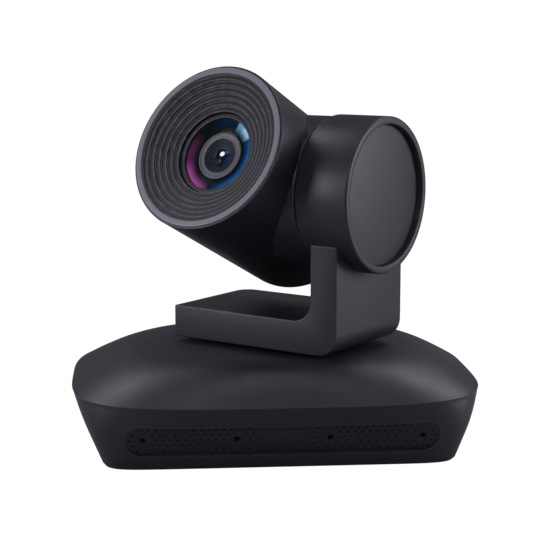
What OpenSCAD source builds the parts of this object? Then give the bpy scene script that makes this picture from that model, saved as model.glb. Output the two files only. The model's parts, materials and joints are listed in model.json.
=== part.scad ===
// Conference pan-tilt-zoom camera: a flared base with a microphone bar, an L-shaped yoke that
// pans on the base, and a cylindrical lens head that tilts in the yoke's drum.
// Frame: origin at the bottom centre of the base, +Z up, the base faces -Y, millimetres.

/* [Base] */
// Width of the base at its rim, its widest level
base_w = 209; // [170:1:260]
// Depth of the base at its rim
base_d = 170; // [140:1:210]
// Height of the rim line above the table
rim_h = 35; // [27:0.5:42]
// Height of the flat top of the dome above the table
top_h = 53; // [49:0.5:64]
// How far the walls lean out from the bottom edge to the rim
flare = 15.5; // [10:0.5:20]
// Squareness of the back half of the base against the front half, smaller is rounder
back_round = 0.8; // [0.7:0.01:1]
// Radius of the flat top of the dome
plateau_r = 54; // [50:1:58]
// Wall thickness of the mouldings
wall = 2.5; // [2:0.1:3]
// Distance from the middle of the base forward to the pan axis
pan_fwd = 7; // [0:0.5:12]
// Distance of the base screws in from the bottom edge, at the sides
screw_in_x = 15.8; // [12:0.1:22]
// Distance of the base screws in from the bottom edge, front and back
screw_in_y = 39.5; // [36:0.1:46]
// Distance of the feet in from the bottom edge, at the sides
foot_in_x = 20; // [14:0.1:26]
// Distance of the feet in from the bottom edge, front and back
foot_in_y = 19; // [14:0.1:24]
// Radius of a foot
foot_r = 7; // [5:0.1:9]
// Number of points round the base outline
outline_n = 64; // [48:8:96]

/* [Microphone bar] */
// Height of the middle of the bar above the table
bar_z = 16.5; // [15:0.1:18]
// Distance from each end of the bar to the bottom edge
bar_end = 11.9; // [10:0.1:20]
// Distance from each end of the bar to the outer microphone
mic_end = 8.55; // [7:0.05:14]
// Height of the bar, across its slot
bar_h = 17.6; // [14:0.1:20]
// Depth of the bar below the front wall, at the middle
bar_recess = 2.6; // [2.2:0.1:3]
// Radius of a perforation
perf_r = 0.58; // [0.45:0.01:0.7]
// Radius of a microphone hole
mic_hole_r = 1.6; // [1.2:0.1:2]
// Width of the infrared window
ir_w = 21.2; // [16:0.1:22]
// Height of the infrared window
ir_h = 8; // [6:0.1:9]

/* [Electronics] */
// Distance of the main board in from the bottom edge, at the sides
board_in_x = 30.5; // [26:0.1:40]
// Distance of the main board in from the bottom edge, at the front
board_in_front = 27.5; // [24:0.1:36]
// Distance of the main board in from the bottom edge, at the back
board_in_back = 10.3; // [9:0.1:14]
// Height of the main board above the base plate
board_rise = 6; // [5:0.1:8]
// Width of the row of sockets
port_w = 102; // [98:1:116]

/* [Yoke] */
// Turn of the yoke about the pan axis, zero with the yoke square to the base
pan_rest = -39.6; // [-170:0.1:170]
// Running gap between the dome and the yoke plate
pan_gap = 2; // [1.5:0.1:4]
// Thickness of the yoke plate
plate_t = 16.6; // [13:0.1:20]
// Thickness of the arm
arm_t = 15.2; // [12:0.1:18]
// Depth of the yoke, front to back
yoke_d = 63; // [53:0.5:76]
// Distance from the pan axis to the free end of the plate
plate_free = 40.2; // [34:0.1:46]
// Distance from the pan axis to the outer face of the arm
arm_out = 59.5; // [56:0.1:68]
// Height of the tilt axis above the top of the plate
axis_rise = 61.3; // [58:0.1:74]
// Radius of the round drum at the top of the arm
drum_r = 39; // [37:0.1:46]
// Width of the drum along the tilt axis
drum_w = 29.8; // [28:0.1:36]

/* [Head] */
// Tilt of the lens axis above level
tilt_rest = 25.7; // [-20:0.1:90]
// Outer radius of the hood at its front edge
hood_r = 43.2; // [40:0.1:46]
// Distance from the tilt axis forward to the front edge of the hood
head_front = 55.5; // [52:0.1:66]
// Distance from the tilt axis back to the rear face
head_back = 40.5; // [38.5:0.1:44]
// Number of steps in the baffle round the lens
steps = 6; // [5:1:8]
// Fall of each step
step_fall = 1.25; // [0.8:0.05:1.4]
// Radius of the clear glass of the front lens
glass_r = 19; // [16:0.1:20.5]

/* [Drive] */
// Radius of the pan shaft
pan_shaft_r = 9; // [8:0.1:10]
// Outer radius of the pan bearing
pan_bearing_r = 12; // [11.5:0.1:13]
// Radius of the tilt shaft
tilt_shaft_r = 5; // [4:0.1:5.5]
// Outer radius of the tilt bearing
tilt_bearing_r = 7; // [6.5:0.1:8]
// Running clearance of a shaft in its bearing, on the radius
run = 0.05; // [0.02:0.01:0.1]
// Tooth size (module) of the pan gears
pan_mod = 1; // [0.9:0.05:1.1]
// Teeth on the pan gear
pan_teeth = 60; // [48:1:72]
// Teeth on the pan motor's pinion
pan_pin_teeth = 15; // [14:1:20]
// Teeth on the tilt gear
tilt_teeth = 36; // [32:1:40]
// Teeth on the tilt motor's pinion
tilt_pin_teeth = 15; // [14:1:18]
// Tooth size (module) of the tilt gears
tilt_mod = 0.8; // [0.7:0.05:0.9]

/* [Hidden] */
eps = 0.01;
$fn = 64;
charcoal = "#35353a";
dark = "#1c1c20";
steel = "#b4b6ba";
brass = "#b89a50";
green = "#1f5a3a";
// Base levels
lift = 1.2;
hw = base_w / 2;
hd = base_d / 2;
floor_t = 3;
plate_top = lift + floor_t;
inner_top = top_h - wall;
// Yoke levels
z_plate = top_h + pan_gap;
z_top = z_plate + plate_t;
z_tilt = z_top + axis_rise;
yh = yoke_d / 2;
arm_in = arm_out - arm_t;
drum_out = arm_out + 9.9;
drum_in = drum_out - drum_w;
rim_t = 3.9;
rim_deep = 3;
cover_x = drum_out - rim_deep;
cover_t = 2.5;
neck_r = 21;
// Head levels, along the lens axis from the tilt axis
hub_end = drum_in - 0.7;
head_x = drum_in - 1.3 - (hood_r - 0.4);
hub_r = drum_r - 1;
back_r = hood_r - 0.4;
bore_r = hood_r - 3;
ring_r = hood_r - 1.15;
ring_in = hood_r - 4.1;
baffle_top = head_front - 0.9;
baffle_in = glass_r + 2.6;
baffle_low = baffle_top - steps * step_fall;
lens_top = baffle_low - 1;
seat_z = lens_top - 1.7;
glass_z = seat_z - 2.2;
mount_z = glass_z - 19.3;
// Gears
pan_cd = pan_mod * (pan_teeth + pan_pin_teeth) / 2;
tilt_cd = tilt_mod * (tilt_teeth + tilt_pin_teeth) / 2;
gear_z = inner_top - 22;
frame_z = inner_top - 6;
gear_x = drum_in + 9.5;
// Microphone bar
wall_run = rim_h - 1 - (lift + 1.5);
lean = atan((flare - 1) / wall_run);
bar_y = -(hd - flare + 0.5 + (bar_z - lift - 1.5) * tan(lean));
bar_half = hw - flare - bar_end;
mic_gap = (2 * bar_half - 2 * mic_end) / 3;
perf = mic_gap / 12.44;

// ---- outlines and helpers ----
// Point of a squared-off oval, half sizes a and b, squareness n, in direction t
function oval(a, b, n, t) = [a * sign(cos(t)) * pow(abs(cos(t)), 2 / n),
                             b * sign(sin(t)) * pow(abs(sin(t)), 2 / n)];
function blend(p, r, w) = let (c = [0, -pan_fwd]) (1 - w) * p + w * (c + r * (p - c) / norm(p - c));
// One level of the base: inset from the rim, squareness, height, share of the round top
function level(g, n, z, w, r) = [for (i = [0 : outline_n - 1])
    let (t = (i + 0.5) * 360 / outline_n, m = t < 180 ? n * back_round : n,
         p = blend(oval(hw - g, hd - g, m, t), r, w)) [p[0], p[1], z]];
// All levels of the base for a skin that lies d inside the outer skin
function levels(d) = let (h = top_h - rim_h, r = plateau_r - d * 0.6) [
    level(flare + 0.9 + d, 12, d > 0 ? lift - 1 : lift, 0, r),
    level(flare + d, 13, lift + 1.5, 0, r),
    level(flare * 0.5 + d, 7, lift + 1.5 + wall_run * 0.5, 0, r),
    level(flare * 0.22 + d, 5, lift + 1.5 + wall_run * 0.78, 0, r),
    level(0.5 + d, 4, rim_h - 1, 0, r),
    level(d, 3.9, rim_h - d * 0.25, 0, r),
    level(0.6 + d, 3.8, rim_h + 0.8 - d * 0.5, 0, r),
    level(d, 3.7, rim_h + h * 0.38 - d * 0.8, 0.21, r),
    level(d, 3.6, rim_h + h * 0.68 - d * 0.92, 0.42, r),
    level(d, 3.5, rim_h + h * 0.88 - d, 0.63, r),
    level(d, 3.4, rim_h + h * 0.97 - d, 0.87, r),
    level(d, 3.4, top_h - d, 1, r)];

// Solid through a list of levels with equal numbers of points
module loft(ls) {
    n = len(ls[0]);
    m = len(ls);
    polyhedron(points = [for (l = ls) each l],
        faces = concat([[for (i = [0 : n - 1]) i]],
            [for (k = [0 : m - 2], i = [0 : n - 1]) let (a = k * n, b = a + n, j = (i + 1) % n)
                [a + i, b + i, b + j]],
            [for (k = [0 : m - 2], i = [0 : n - 1]) let (a = k * n, b = a + n, j = (i + 1) % n)
                [a + i, b + j, a + j]],
            [[for (i = [n - 1 : -1 : 0]) (m - 1) * n + i]]));
}

// Flat slot shape with round ends
module slot2(w, h) {
    square([w - h, h], center = true);
    translate([(w - h) / 2, 0]) circle(d = h);
    translate([-(w - h) / 2, 0]) circle(d = h);
}

// Flat ring
module ring2(ro, ri) {
    difference() {
        circle(ro, $fn = 96);
        circle(ri, $fn = 96);
    }
}

// Involute point of a base circle rb at radius r, as the polar angle
function inv(rb, r) = r <= rb ? 0 : sqrt(r * r / (rb * rb) - 1) * 180 / PI - acos(rb / r);
// Half tooth angle at radius r for z teeth of module m, with the flank eased by gap mm
function half_tooth(z, m, r, gap) = let (rp = z * m / 2, rb = rp * cos(25))
    90 / z + inv(rb, rp) - inv(rb, r) - gap / 2 / rp * 180 / PI;

// Flat spur gear, tooth on +X, 25 degree teeth with backlash
module gear2(z, m, gap = 0.16) {
    rp = z * m / 2;
    rs = [rp - 1.1 * m, rp - 0.45 * m, rp, rp + 0.4 * m, rp + 0.8 * m];
    polygon([for (k = [0 : z - 1], j = [0 : 9])
        let (r = rs[j < 5 ? j : 9 - j], a = half_tooth(z, m, r, gap), t = k * 360 / z + (j < 5 ? -a : a))
        [r * cos(t), r * sin(t)]]);
}

// Pan screw: cap below z = 0, shank above
module screw(rh, hh, rs, l) {
    difference() {
        translate([0, 0, -hh]) cylinder(r = rh, h = hh, $fn = 32);
        translate([0, 0, -hh - eps]) cylinder(r = rh * 0.45, h = hh * 0.6, $fn = 6);
    }
    cylinder(r = rs, h = l, $fn = 32);
}

// Frames of the turning parts
module at_pan() { translate([0, -pan_fwd, 0]) children(); }
module at_yoke() { at_pan() rotate([0, 0, pan_rest]) children(); }
module at_tilt() { at_yoke() translate([0, 0, z_tilt]) rotate([0, 90, 0]) children(); }
module at_head() { at_yoke() translate([0, 0, z_tilt]) rotate([-tilt_rest, 0, 0]) children(); }
module at_lens() { at_head() translate([head_x, 0, 0]) rotate([90, 0, 0]) children(); }
// Frame on the front wall: x along the bar, y up the wall, z out of the wall
module at_bar() { translate([0, bar_y, bar_z]) rotate([90 + lean, 0, 0]) children(); }

edge_x = hw - flare;
edge_y = hd - flare;
screw_x = edge_x - screw_in_x;
screw_y = edge_y - screw_in_y;
foot_x = edge_x - foot_in_x;
foot_y = edge_y - foot_in_y;
vent_x = 42;
post_r = pan_bearing_r + 15;
board_x = edge_x - board_in_x;
board_front = -(edge_y - board_in_front);
board_back = edge_y - board_in_back;
board_z = plate_top + board_rise;
panel_y = board_back + 1.5;
chip_x = -21;
chip_y = board_front + 28;
// Sockets along the rear edge of the board: where each is, its width and its height
dc = [-39, 9, 11];
usb = [-20.5, 9, 6.6];
hdmi = [-1, 15, 6];
lan = [19.5, 15.8, 13.2];
audio = [38, 8, 8];
board_t = 1.6;
port_z = board_z + board_t;

// ---- base ----
module base_shell() {
    color(charcoal) difference() {
        loft(levels(0));
        difference() {
            loft(levels(wall));
            for (x = [-1, 1], y = [-1, 1]) translate([x * screw_x, y * screw_y, plate_top])
                cylinder(r = 4, h = top_h, $fn = 32);
            at_bar() translate([0, 0, -bar_recess - 2]) linear_extrude(12) slot2(2 * bar_half + 5, bar_h + 5);
        }
        for (x = [-1, 1], y = [-1, 1]) translate([x * screw_x, y * screw_y, plate_top - 1])
            cylinder(r = 1.3, h = 11, $fn = 32);
        at_pan() translate([0, 0, inner_top - 1]) cylinder(r = neck_r + 1, h = wall + 2);
        at_pan() for (a = [0 : 3]) rotate([0, 0, 45 + a * 90]) translate([post_r, 0, inner_top - 1])
            cylinder(r = 1.3, h = 2.7, $fn = 32);
        at_bar() translate([0, 0, -bar_recess]) linear_extrude(8) slot2(2 * bar_half, bar_h);
        at_bar() translate([0, 0, -bar_recess - 6]) linear_extrude(8) slot2(2 * bar_half - 3, bar_h - 3);
        translate([-port_w / 2, panel_y - 3, plate_top + 2]) cube([port_w, hd, 20]);
    }
}

module plate2(d) {
    polygon([for (i = [0 : outline_n - 1]) let (t = (i + 0.5) * 360 / outline_n)
        oval(hw - flare - 1.2 - d, hd - flare - 1.2 - d, t < 180 ? 12 * back_round : 12, t)]);
}

module base_plate() {
    color(dark) {
        difference() {
            translate([0, 0, lift]) linear_extrude(floor_t) difference() {
                plate2(wall + 0.3);
                for (x = [-1, 1], y = [-1, 1]) translate([x * screw_x, y * screw_y]) circle(1.7);
                circle(6.1);
                for (i = [-4 : 4], s = [-1, 1]) translate([s * vent_x, i * 5])
                    square([24, 2], center = true);
            }
            for (x = [-1, 1], y = [-1, 1]) translate([x * screw_x, y * screw_y, lift - eps])
                cylinder(r = 3.2, h = 1.6);
            for (x = [-1, 1], y = [-1, 1]) translate([x * foot_x, y * foot_y, lift - eps])
                cylinder(r = foot_r + 0.2, h = 0.5 + eps);
        }
        difference() {
            translate([0, 0, plate_top]) cylinder(r = 10, h = 4);
            translate([0, 0, plate_top - 1]) cylinder(r = 6.1, h = 6);
        }
        for (x = [-1, 1], y = [board_front + 5, board_back - 8]) translate([x * (board_x - 5), y, plate_top])
            cylinder(r = 3, h = board_z - plate_top);
    }
}

module rubber_feet() {
    color("#101012") for (x = [-1, 1], y = [-1, 1]) translate([x * foot_x, y * foot_y, 0])
        rotate_extrude() polygon([[0, 0], [foot_r - 0.8, 0], [foot_r, 0.8], [foot_r, lift + 0.5],
            [0, lift + 0.5]]);
}

module base_screws() {
    color(steel) for (x = [-1, 1], y = [-1, 1]) translate([x * screw_x, y * screw_y, lift + 1.6 - eps])
        screw(2.9, 1.4, 1.25, 10);
}

module tripod_insert() {
    color(brass) {
        translate([0, 0, lift]) linear_extrude(floor_t + 5) ring2(6, 3.175);
        translate([0, 0, plate_top + 4]) linear_extrude(1) ring2(8, 3.175);
    }
}

module mic_grille() {
    // backing with the four sound holes, cut back under the window
    color(dark) at_bar() for (l = [[-2, 1.7, 0], [-0.3, 0.3, 1]]) translate([0, 0, -bar_recess + l[0]])
        linear_extrude(l[1]) difference() {
            slot2(2 * bar_half - 3.4, bar_h - 3.4);
            for (s = [-1, 1], m = [0.5, 1.5]) translate([s * m * mic_gap, 0]) circle(mic_hole_r, $fn = 32);
            if (l[2] > 0) slot2(ir_w, ir_h);
        }
    // perforated face
    color(dark) at_bar() translate([0, 0, -bar_recess]) linear_extrude(0.5) difference() {
        slot2(2 * bar_half - 0.5, bar_h - 0.5);
        slot2(ir_w, ir_h);
        for (s = [-1, 1], m = [0.5, 1.5]) translate([s * m * mic_gap, 0]) circle(mic_hole_r, $fn = 32);
        for (s = [-1, 1], r = [-2 : 2]) let (o = 0.72 + 0.5 * (2 - abs(r))) {
            for (k = [0 : 9 + abs(r)]) translate([s * (mic_gap / 2 + (o + k) * perf), r * perf * 0.866])
                circle(perf_r, $fn = 16);
            translate([s * (mic_gap * 1.5 + o * perf), r * perf * 0.866]) circle(perf_r, $fn = 16);
            for (k = [0, 1]) translate([s * (mic_gap / 2 - (o + k) * perf), r * perf * 0.866])
                circle(perf_r, $fn = 16);
        }
    }
}

module ir_window() {
    color("#08080a") at_bar() translate([0, 0, -bar_recess - 0.3]) linear_extrude(0.7)
        slot2(ir_w - 0.2, ir_h - 0.2);
}

module mic_board() {
    color(green) at_bar() translate([0, 0, -bar_recess - 5.6]) linear_extrude(1.2)
        square([2 * bar_half - 12, bar_h - 5], center = true);
}

module mic_capsules() {
    color("#303034") at_bar() for (s = [-1, 1], m = [0.5, 1.5])
        translate([s * m * mic_gap, 0, -bar_recess - 4.4]) linear_extrude(2.4) ring2(3.5, 1.2);
}

module ir_receiver() {
    color("#141416") at_bar() translate([0, 0, -bar_recess - 4.4]) linear_extrude(2.2)
        square([7, 6], center = true);
}

module main_board() {
    color(green) translate([0, 0, board_z]) linear_extrude(board_t) difference() {
        translate([-board_x, board_front]) square([2 * board_x, board_back - board_front]);
        for (s = [-1, 1]) translate([s * (board_x - 5), board_front + 5]) circle(1.6);
    }
}

module processor() {
    color("#202022") translate([chip_x, chip_y, port_z]) linear_extrude(1.8)
        square([22, 22], center = true);
}

module heat_sink() {
    color("#8a8c90") translate([chip_x, chip_y, port_z + 1.8]) {
        linear_extrude(2) square([28, 28], center = true);
        translate([0, 0, 2]) linear_extrude(5) for (i = [-3 : 3]) translate([i * 4.2, 0])
            square([1.4, 28], center = true);
    }
}

// Rear socket p of length l and wall t, hollow inside but for the last of its length
module socket(p, l, t) {
    translate([p[0], board_back + 2.5 - l, port_z + p[2] / 2]) rotate([-90, 0, 0]) {
        linear_extrude(l) difference() {
            square([p[1], p[2]], center = true);
            square([p[1] - 2 * t, p[2] - 2 * t], center = true);
        }
        linear_extrude(l * 0.4) square([p[1], p[2]], center = true);
    }
}

module port_holes(g) {
    for (p = [dc, usb, hdmi, lan, audio]) translate([p[0], p[2] / 2])
        square([p[1] + g, p[2] + g], center = true);
}

module port_panel() {
    color(dark) translate([0, panel_y + 1.2, 0]) rotate([90, 0, 0]) linear_extrude(1.2) difference() {
        translate([-port_w / 2 - 4, plate_top]) square([port_w + 8, 23]);
        translate([0, port_z]) port_holes(0.4);
    }
}

module dc_jack() {
    color("#161618") translate([dc[0], 0, port_z + dc[2] / 2]) difference() {
        translate([-dc[1] / 2, board_back - 11.5, -dc[2] / 2]) cube([dc[1], 14, dc[2]]);
        translate([0, board_back - 7, 0]) rotate([-90, 0, 0]) linear_extrude(10) ring2(3.2, 1);
    }
}

module usb_port() {
    color(steel) socket(usb, 12, 0.6);
}

module hdmi_port() {
    color(steel) socket(hdmi, 11, 0.6);
}

module lan_port() {
    color(steel) socket(lan, 18, 1.2);
}

module audio_jack() {
    color("#161618") translate([audio[0], 0, port_z + audio[2] / 2]) difference() {
        translate([-audio[1] / 2, board_back - 10.5, -audio[2] / 2]) cube([audio[1], 13, audio[2]]);
        translate([0, board_back - 8, 0]) rotate([-90, 0, 0]) cylinder(r = 1.8, h = 12);
    }
}

// ---- pan drive ----
// Metal plate under the dome top with the bearing tube; the motor hangs from its ear
module pan_frame() {
    color("#9a9ca0") at_pan() {
        translate([0, 0, frame_z]) linear_extrude(3) difference() {
            union() {
                circle(33, $fn = 96);
                translate([0, pan_cd]) circle(13);
                translate([-13, 0]) square([26, pan_cd]);
            }
            circle(pan_bearing_r + run);
            translate([0, pan_cd]) circle(3);
            for (a = [0 : 3]) rotate(45 + a * 90) translate([post_r, 0]) circle(1.5, $fn = 32);
        }
        translate([0, 0, frame_z + 3]) linear_extrude(3) for (a = [0 : 3]) rotate(45 + a * 90)
            translate([post_r, 0]) difference() {
                circle(4, $fn = 32);
                circle(1.5, $fn = 32);
            }
        translate([0, 0, frame_z - 10]) linear_extrude(10) ring2(pan_bearing_r + 3, pan_bearing_r + run);
        translate([0, 0, frame_z - 11]) linear_extrude(1) ring2(pan_bearing_r + 3, pan_shaft_r + 1);
    }
}

module pan_frame_screws() {
    color(steel) at_pan() for (a = [0 : 3]) rotate([0, 0, 45 + a * 90]) translate([post_r, 0, frame_z])
        screw(2.8, 1.8, 1.25, 7.5);
}

module pan_bearing() {
    color("#c9cbd0") at_pan() translate([0, 0, frame_z - 10]) linear_extrude(13) ring2(pan_bearing_r, pan_shaft_r + run);
}

module pan_motor() {
    color("#a8aaae") at_pan() translate([0, pan_cd, 0]) difference() {
        union() {
            translate([0, 0, frame_z - 10.5]) cylinder(r = 10, h = 10.5);
            translate([0, 0, frame_z - 11.3]) cylinder(r = 3, h = 2);
        }
        translate([0, 0, frame_z - 12]) cylinder(r = 1.05, h = 10, $fn = 32);
    }
}

module pan_pinion() {
    color(brass) at_pan() translate([0, pan_cd, 0]) {
        translate([0, 0, gear_z]) linear_extrude(4) rotate(-90) gear2(pan_pin_teeth, pan_mod);
        translate([0, 0, gear_z + 4 - eps]) cylinder(r = 1, h = 9, $fn = 32);
    }
}

// ---- yoke ----
// L-shaped section: plate below, arm rising on the right, round outer and inner corners
module yoke2() {
    ro = 11;
    ri = 10;
    difference() {
        union() {
            translate([-plate_free, z_plate]) square([plate_free + arm_out, plate_t]);
            translate([arm_in, z_plate]) square([arm_out - arm_in, axis_rise + plate_t - 10]);
            translate([arm_in - ri, z_top]) square([ri, ri]);
        }
        translate([arm_in - ri, z_top + ri]) circle(ri);
        difference() {
            translate([arm_out - ro, z_plate - 1]) square([ro + 1, ro + 1]);
            translate([arm_out - ro, z_plate + ro]) circle(ro);
        }
    }
}

module yoke_bracket() {
    color(charcoal) at_yoke() difference() {
        translate([0, yh, 0]) rotate([90, 0, 0]) linear_extrude(yoke_d) yoke2();
        // round rear corner of the free end
        difference() {
            translate([-plate_free - 1, yh - 8, z_plate - 1]) cube([9, 9, plate_t + 2]);
            translate([-plate_free + 8, yh - 8, z_plate - 2]) cylinder(r = 8, h = plate_t + 4);
        }
        // seat of the drum
        translate([0, 0, z_tilt]) rotate([0, 90, 0]) cylinder(r = drum_r + 0.05, h = arm_out + 5, $fn = 128);
        // pocket for the drum's root
        translate([arm_in + 2.5, -12.1, z_tilt - drum_r - 6]) cube([arm_t - 5.3, 24.2, 12]);
        // room for the shaft flange and the cables, open below
        difference() {
            translate([-plate_free + 6, -yh + 5, z_plate - 1])
                cube([plate_free + arm_in - 12, yoke_d - 10, plate_t - 2.5]);
            yoke_posts() cylinder(r = 3.6, h = plate_t, $fn = 32);
        }
        yoke_posts() cylinder(r = 1.3, h = plate_t - 5, $fn = 32);
        translate([-plate_free + 4, -yh + 3, z_plate - 1]) cube([plate_free + arm_in - 8, yoke_d - 6, 3]);
        // cable duct up the arm
        translate([arm_in + 3.5, -8, z_plate + 5]) cube([7, 16, axis_rise]);
        translate([arm_in - 15, -8, z_plate + 5]) cube([22, 16, 6]);
    }
}

// Places of the four posts that hold the cover under the plate
module yoke_posts() {
    for (x = [-plate_free + 10, arm_in - 10], y = [-1, 1]) translate([x, y * (yh - 9), z_plate]) children();
}

module yoke_cover() {
    color(dark) at_yoke() difference() {
        union() {
            translate([-plate_free + 4.2, -yh + 3.2, z_plate])
                cube([plate_free + arm_in - 8.4, yoke_d - 6.4, 2]);
            translate([0, 0, z_plate - pan_gap - 1.5]) cylinder(r = neck_r, h = pan_gap + 1.6, $fn = 96);
        }
        translate([0, 0, z_plate - 6]) cylinder(r = pan_shaft_r + 0.3, h = 12);
        yoke_posts() translate([0, 0, -1]) cylinder(r = 1.4, h = 5, $fn = 32);
        yoke_posts() translate([0, 0, -1]) cylinder(r = 2.8, h = 2, $fn = 32);
    }
}

module yoke_cover_screws() {
    color(steel) at_yoke() yoke_posts() translate([0, 0, 1]) screw(2.5, 0.9, 1.25, plate_t - 7);
}

module pan_shaft() {
    color(steel) at_yoke() difference() {
        union() {
            translate([0, 0, gear_z - 3]) cylinder(r = pan_shaft_r, h = z_top - 3.5 - gear_z + 3);
            translate([0, 0, z_top - 6.5]) cylinder(r = pan_shaft_r + 8, h = 3);
        }
        translate([0, 0, gear_z - 4]) cylinder(r = pan_shaft_r - 3.5, h = 80);
        translate([0, 0, gear_z - 1]) rotate_extrude() translate([pan_shaft_r - 0.8, 0]) square([2, 1]);
    }
}

module pan_gear() {
    color("#d8d4c4") at_yoke() translate([0, 0, gear_z]) {
        linear_extrude(4) difference() {
            rotate(90 - pan_rest + 180 / pan_teeth) gear2(pan_teeth, pan_mod);
            circle(pan_shaft_r + 0.01);
            for (a = [0 : 5]) rotate(a * 60) translate([(pan_bearing_r + pan_teeth * pan_mod / 2) / 2 - 1.5, 0])
                circle(4.5, $fn = 32);
        }
        translate([0, 0, 4]) linear_extrude(frame_z - 11 - gear_z - 4.5)
            ring2(pan_bearing_r, pan_shaft_r + 0.01);
    }
}

module pan_clip() {
    color(steel) at_yoke() translate([0, 0, gear_z - 0.9]) linear_extrude(0.9) difference() {
        ring2(pan_shaft_r + 2, pan_shaft_r - 0.7);
        translate([0, -2]) square([14, 4]);
    }
}

// ---- drum on the arm (drawn along the tilt axis, turned into place) ----
module drum_housing() {
    color(charcoal) at_tilt() {
        difference() {
            union() {
                translate([0, 0, drum_in]) rotate_extrude($fn = 128)
                    difference() {
                        translate([0, 0]) square([drum_r, drum_w]);
                        translate([drum_r - 1, -1]) square([2, 2]);
                        translate([drum_r - 1, drum_w - 1]) square([2, 2]);
                    }
                for (z = [drum_in + 1, drum_out - 1]) translate([0, 0, z]) rotate_extrude($fn = 128)
                    translate([drum_r - 1, 0]) circle(1, $fn = 32);
                translate([drum_r - 4, -11.9, arm_in + 2.7]) cube([10, 23.8, arm_t - 5.7]);
            }
            translate([0, 0, drum_in + wall]) cylinder(r = drum_r - 4.9, h = drum_w, $fn = 128);
            translate([0, 0, cover_x - cover_t]) cylinder(r = drum_r - rim_t, h = 10, $fn = 128);
            translate([0, 0, drum_in - 1]) cylinder(r = tilt_bearing_r + run, h = wall + 2);
            translate([drum_r - 8, -7, arm_in + 4]) cube([20, 14, arm_t - 8.5]);
        }
        difference() {
            translate([0, 0, drum_in + wall - eps]) cylinder(r = tilt_bearing_r + 3, h = 4.5);
            translate([0, 0, drum_in]) cylinder(r = tilt_bearing_r + run, h = 12);
        }
        for (a = [0 : 2]) rotate([0, 0, 30 + a * 120]) translate([drum_r - 9, 0, 0]) difference() {
            translate([0, 0, drum_in + wall - eps]) cylinder(r = 3, h = 12.5, $fn = 32);
            translate([0, 0, drum_in + wall + 4]) cylinder(r = 1.1, h = 12, $fn = 32);
        }
    }
}

module drum_cover() {
    color(charcoal) at_tilt() translate([0, 0, cover_x - cover_t])
        cylinder(r = drum_r - rim_t - 0.15, h = cover_t, $fn = 128);
}

module tilt_bearing() {
    color("#c9cbd0") at_tilt() translate([0, 0, drum_in]) {
        linear_extrude(wall + 5) ring2(tilt_bearing_r, tilt_shaft_r + run);
        translate([0, 0, wall - eps + 4.5]) linear_extrude(1) ring2(tilt_bearing_r + 1.5, tilt_shaft_r + run);
    }
}

plate_x = drum_in + wall + 12.5;
module tilt_motor_plate() {
    color("#9a9ca0") at_tilt() translate([0, 0, plate_x]) linear_extrude(1.5) difference() {
        circle(drum_r - 5.3, $fn = 96);
        circle(tilt_bearing_r);
        rotate(180) translate([tilt_cd, 0]) circle(3);
        for (a = [0 : 2]) rotate(30 + a * 120) translate([drum_r - 9, 0]) circle(1.2, $fn = 32);
    }
}

module tilt_motor() {
    color("#a8aaae") at_tilt() rotate([0, 0, 180]) translate([tilt_cd, 0, plate_x + 1.5]) difference() {
        cylinder(r = 11.5, h = cover_x - cover_t - plate_x - 1.9);
        translate([0, 0, -1]) cylinder(r = 1.05, h = 6, $fn = 32);
    }
}

module motor_plate_screws() {
    color(steel) at_tilt() for (a = [0 : 2]) rotate([0, 0, 30 + a * 120])
        translate([drum_r - 9, 0, plate_x + 1.5 + eps]) rotate([180, 0, 0]) screw(2.2, 1.3, 1.05, 7);
}

module tilt_pinion() {
    color(brass) at_tilt() rotate([0, 0, 180]) translate([tilt_cd, 0, 0]) {
        translate([0, 0, gear_x]) linear_extrude(4) rotate(180) gear2(tilt_pin_teeth, tilt_mod);
        translate([0, 0, gear_x + 4 - eps]) cylinder(r = 1, h = plate_x + 5 - gear_x - 4, $fn = 32);
    }
}

// ---- head ----
module head_shell() {
    color(charcoal) difference() {
        union() {
            at_lens() rotate_extrude($fn = 128) polygon([[0, -head_back], [back_r - 2.5, -head_back],
                [back_r - 1.2, -head_back + 0.4], [back_r - 0.4, -head_back + 1.2],
                [back_r, -head_back + 2.5], [hood_r, head_front - 0.6], [hood_r - 0.4, head_front], [0, head_front]]);
            at_head() rotate([0, 90, 0]) cylinder(r = hub_r, h = hub_end, $fn = 128);
        }
        at_lens() difference() {
            translate([0, 0, -head_back - 1]) cylinder(r = bore_r, h = mount_z + head_back - 3, $fn = 128);
            for (a = [0 : 3]) rotate([0, 0, 45 + a * 90]) translate([bore_r - 3.8, 0, -head_back + 2.6])
                cylinder(r = 4, h = 12, $fn = 32);
        }
        at_lens() for (a = [0 : 3]) rotate([0, 0, 45 + a * 90]) translate([bore_r - 3.8, 0, -head_back])
            cylinder(r = 1.15, h = 11, $fn = 32);
        at_lens() translate([0, 0, mount_z - 5]) cylinder(r = bore_r - 2, h = 80, $fn = 128);
        at_lens() translate([0, 0, mount_z]) cylinder(r = bore_r, h = 80, $fn = 128);
        at_lens() translate([0, 0, head_front - 4.5]) cylinder(r = ring_r + 0.1, h = 10, $fn = 128);
        at_head() rotate([0, 90, 0]) intersection() {
            cylinder(r = hub_r - wall, h = hub_end - wall, $fn = 128);
            translate([-50, -mount_z + 5, 0]) cube([100, 80, 80]);
        }
        at_head() rotate([0, 90, 0]) cylinder(r = tilt_shaft_r + 0.2, h = hub_end + 5);
    }
}

module head_rear() {
    color(dark) at_lens() translate([0, 0, -head_back]) linear_extrude(2.6) difference() {
        circle(bore_r - 0.2, $fn = 128);
        for (a = [0 : 3]) rotate(45 + a * 90) translate([bore_r - 3.8, 0]) circle(1.4, $fn = 32);
        for (i = [-3 : 3]) translate([i * 5, 0]) square([2, 28], center = true);
    }
}

module head_screws() {
    color(steel) at_lens() for (a = [0 : 3]) rotate([0, 0, 45 + a * 90])
        translate([bore_r - 3.8, 0, -head_back]) screw(2.2, 1.2, 1.1, 9);
}

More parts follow.
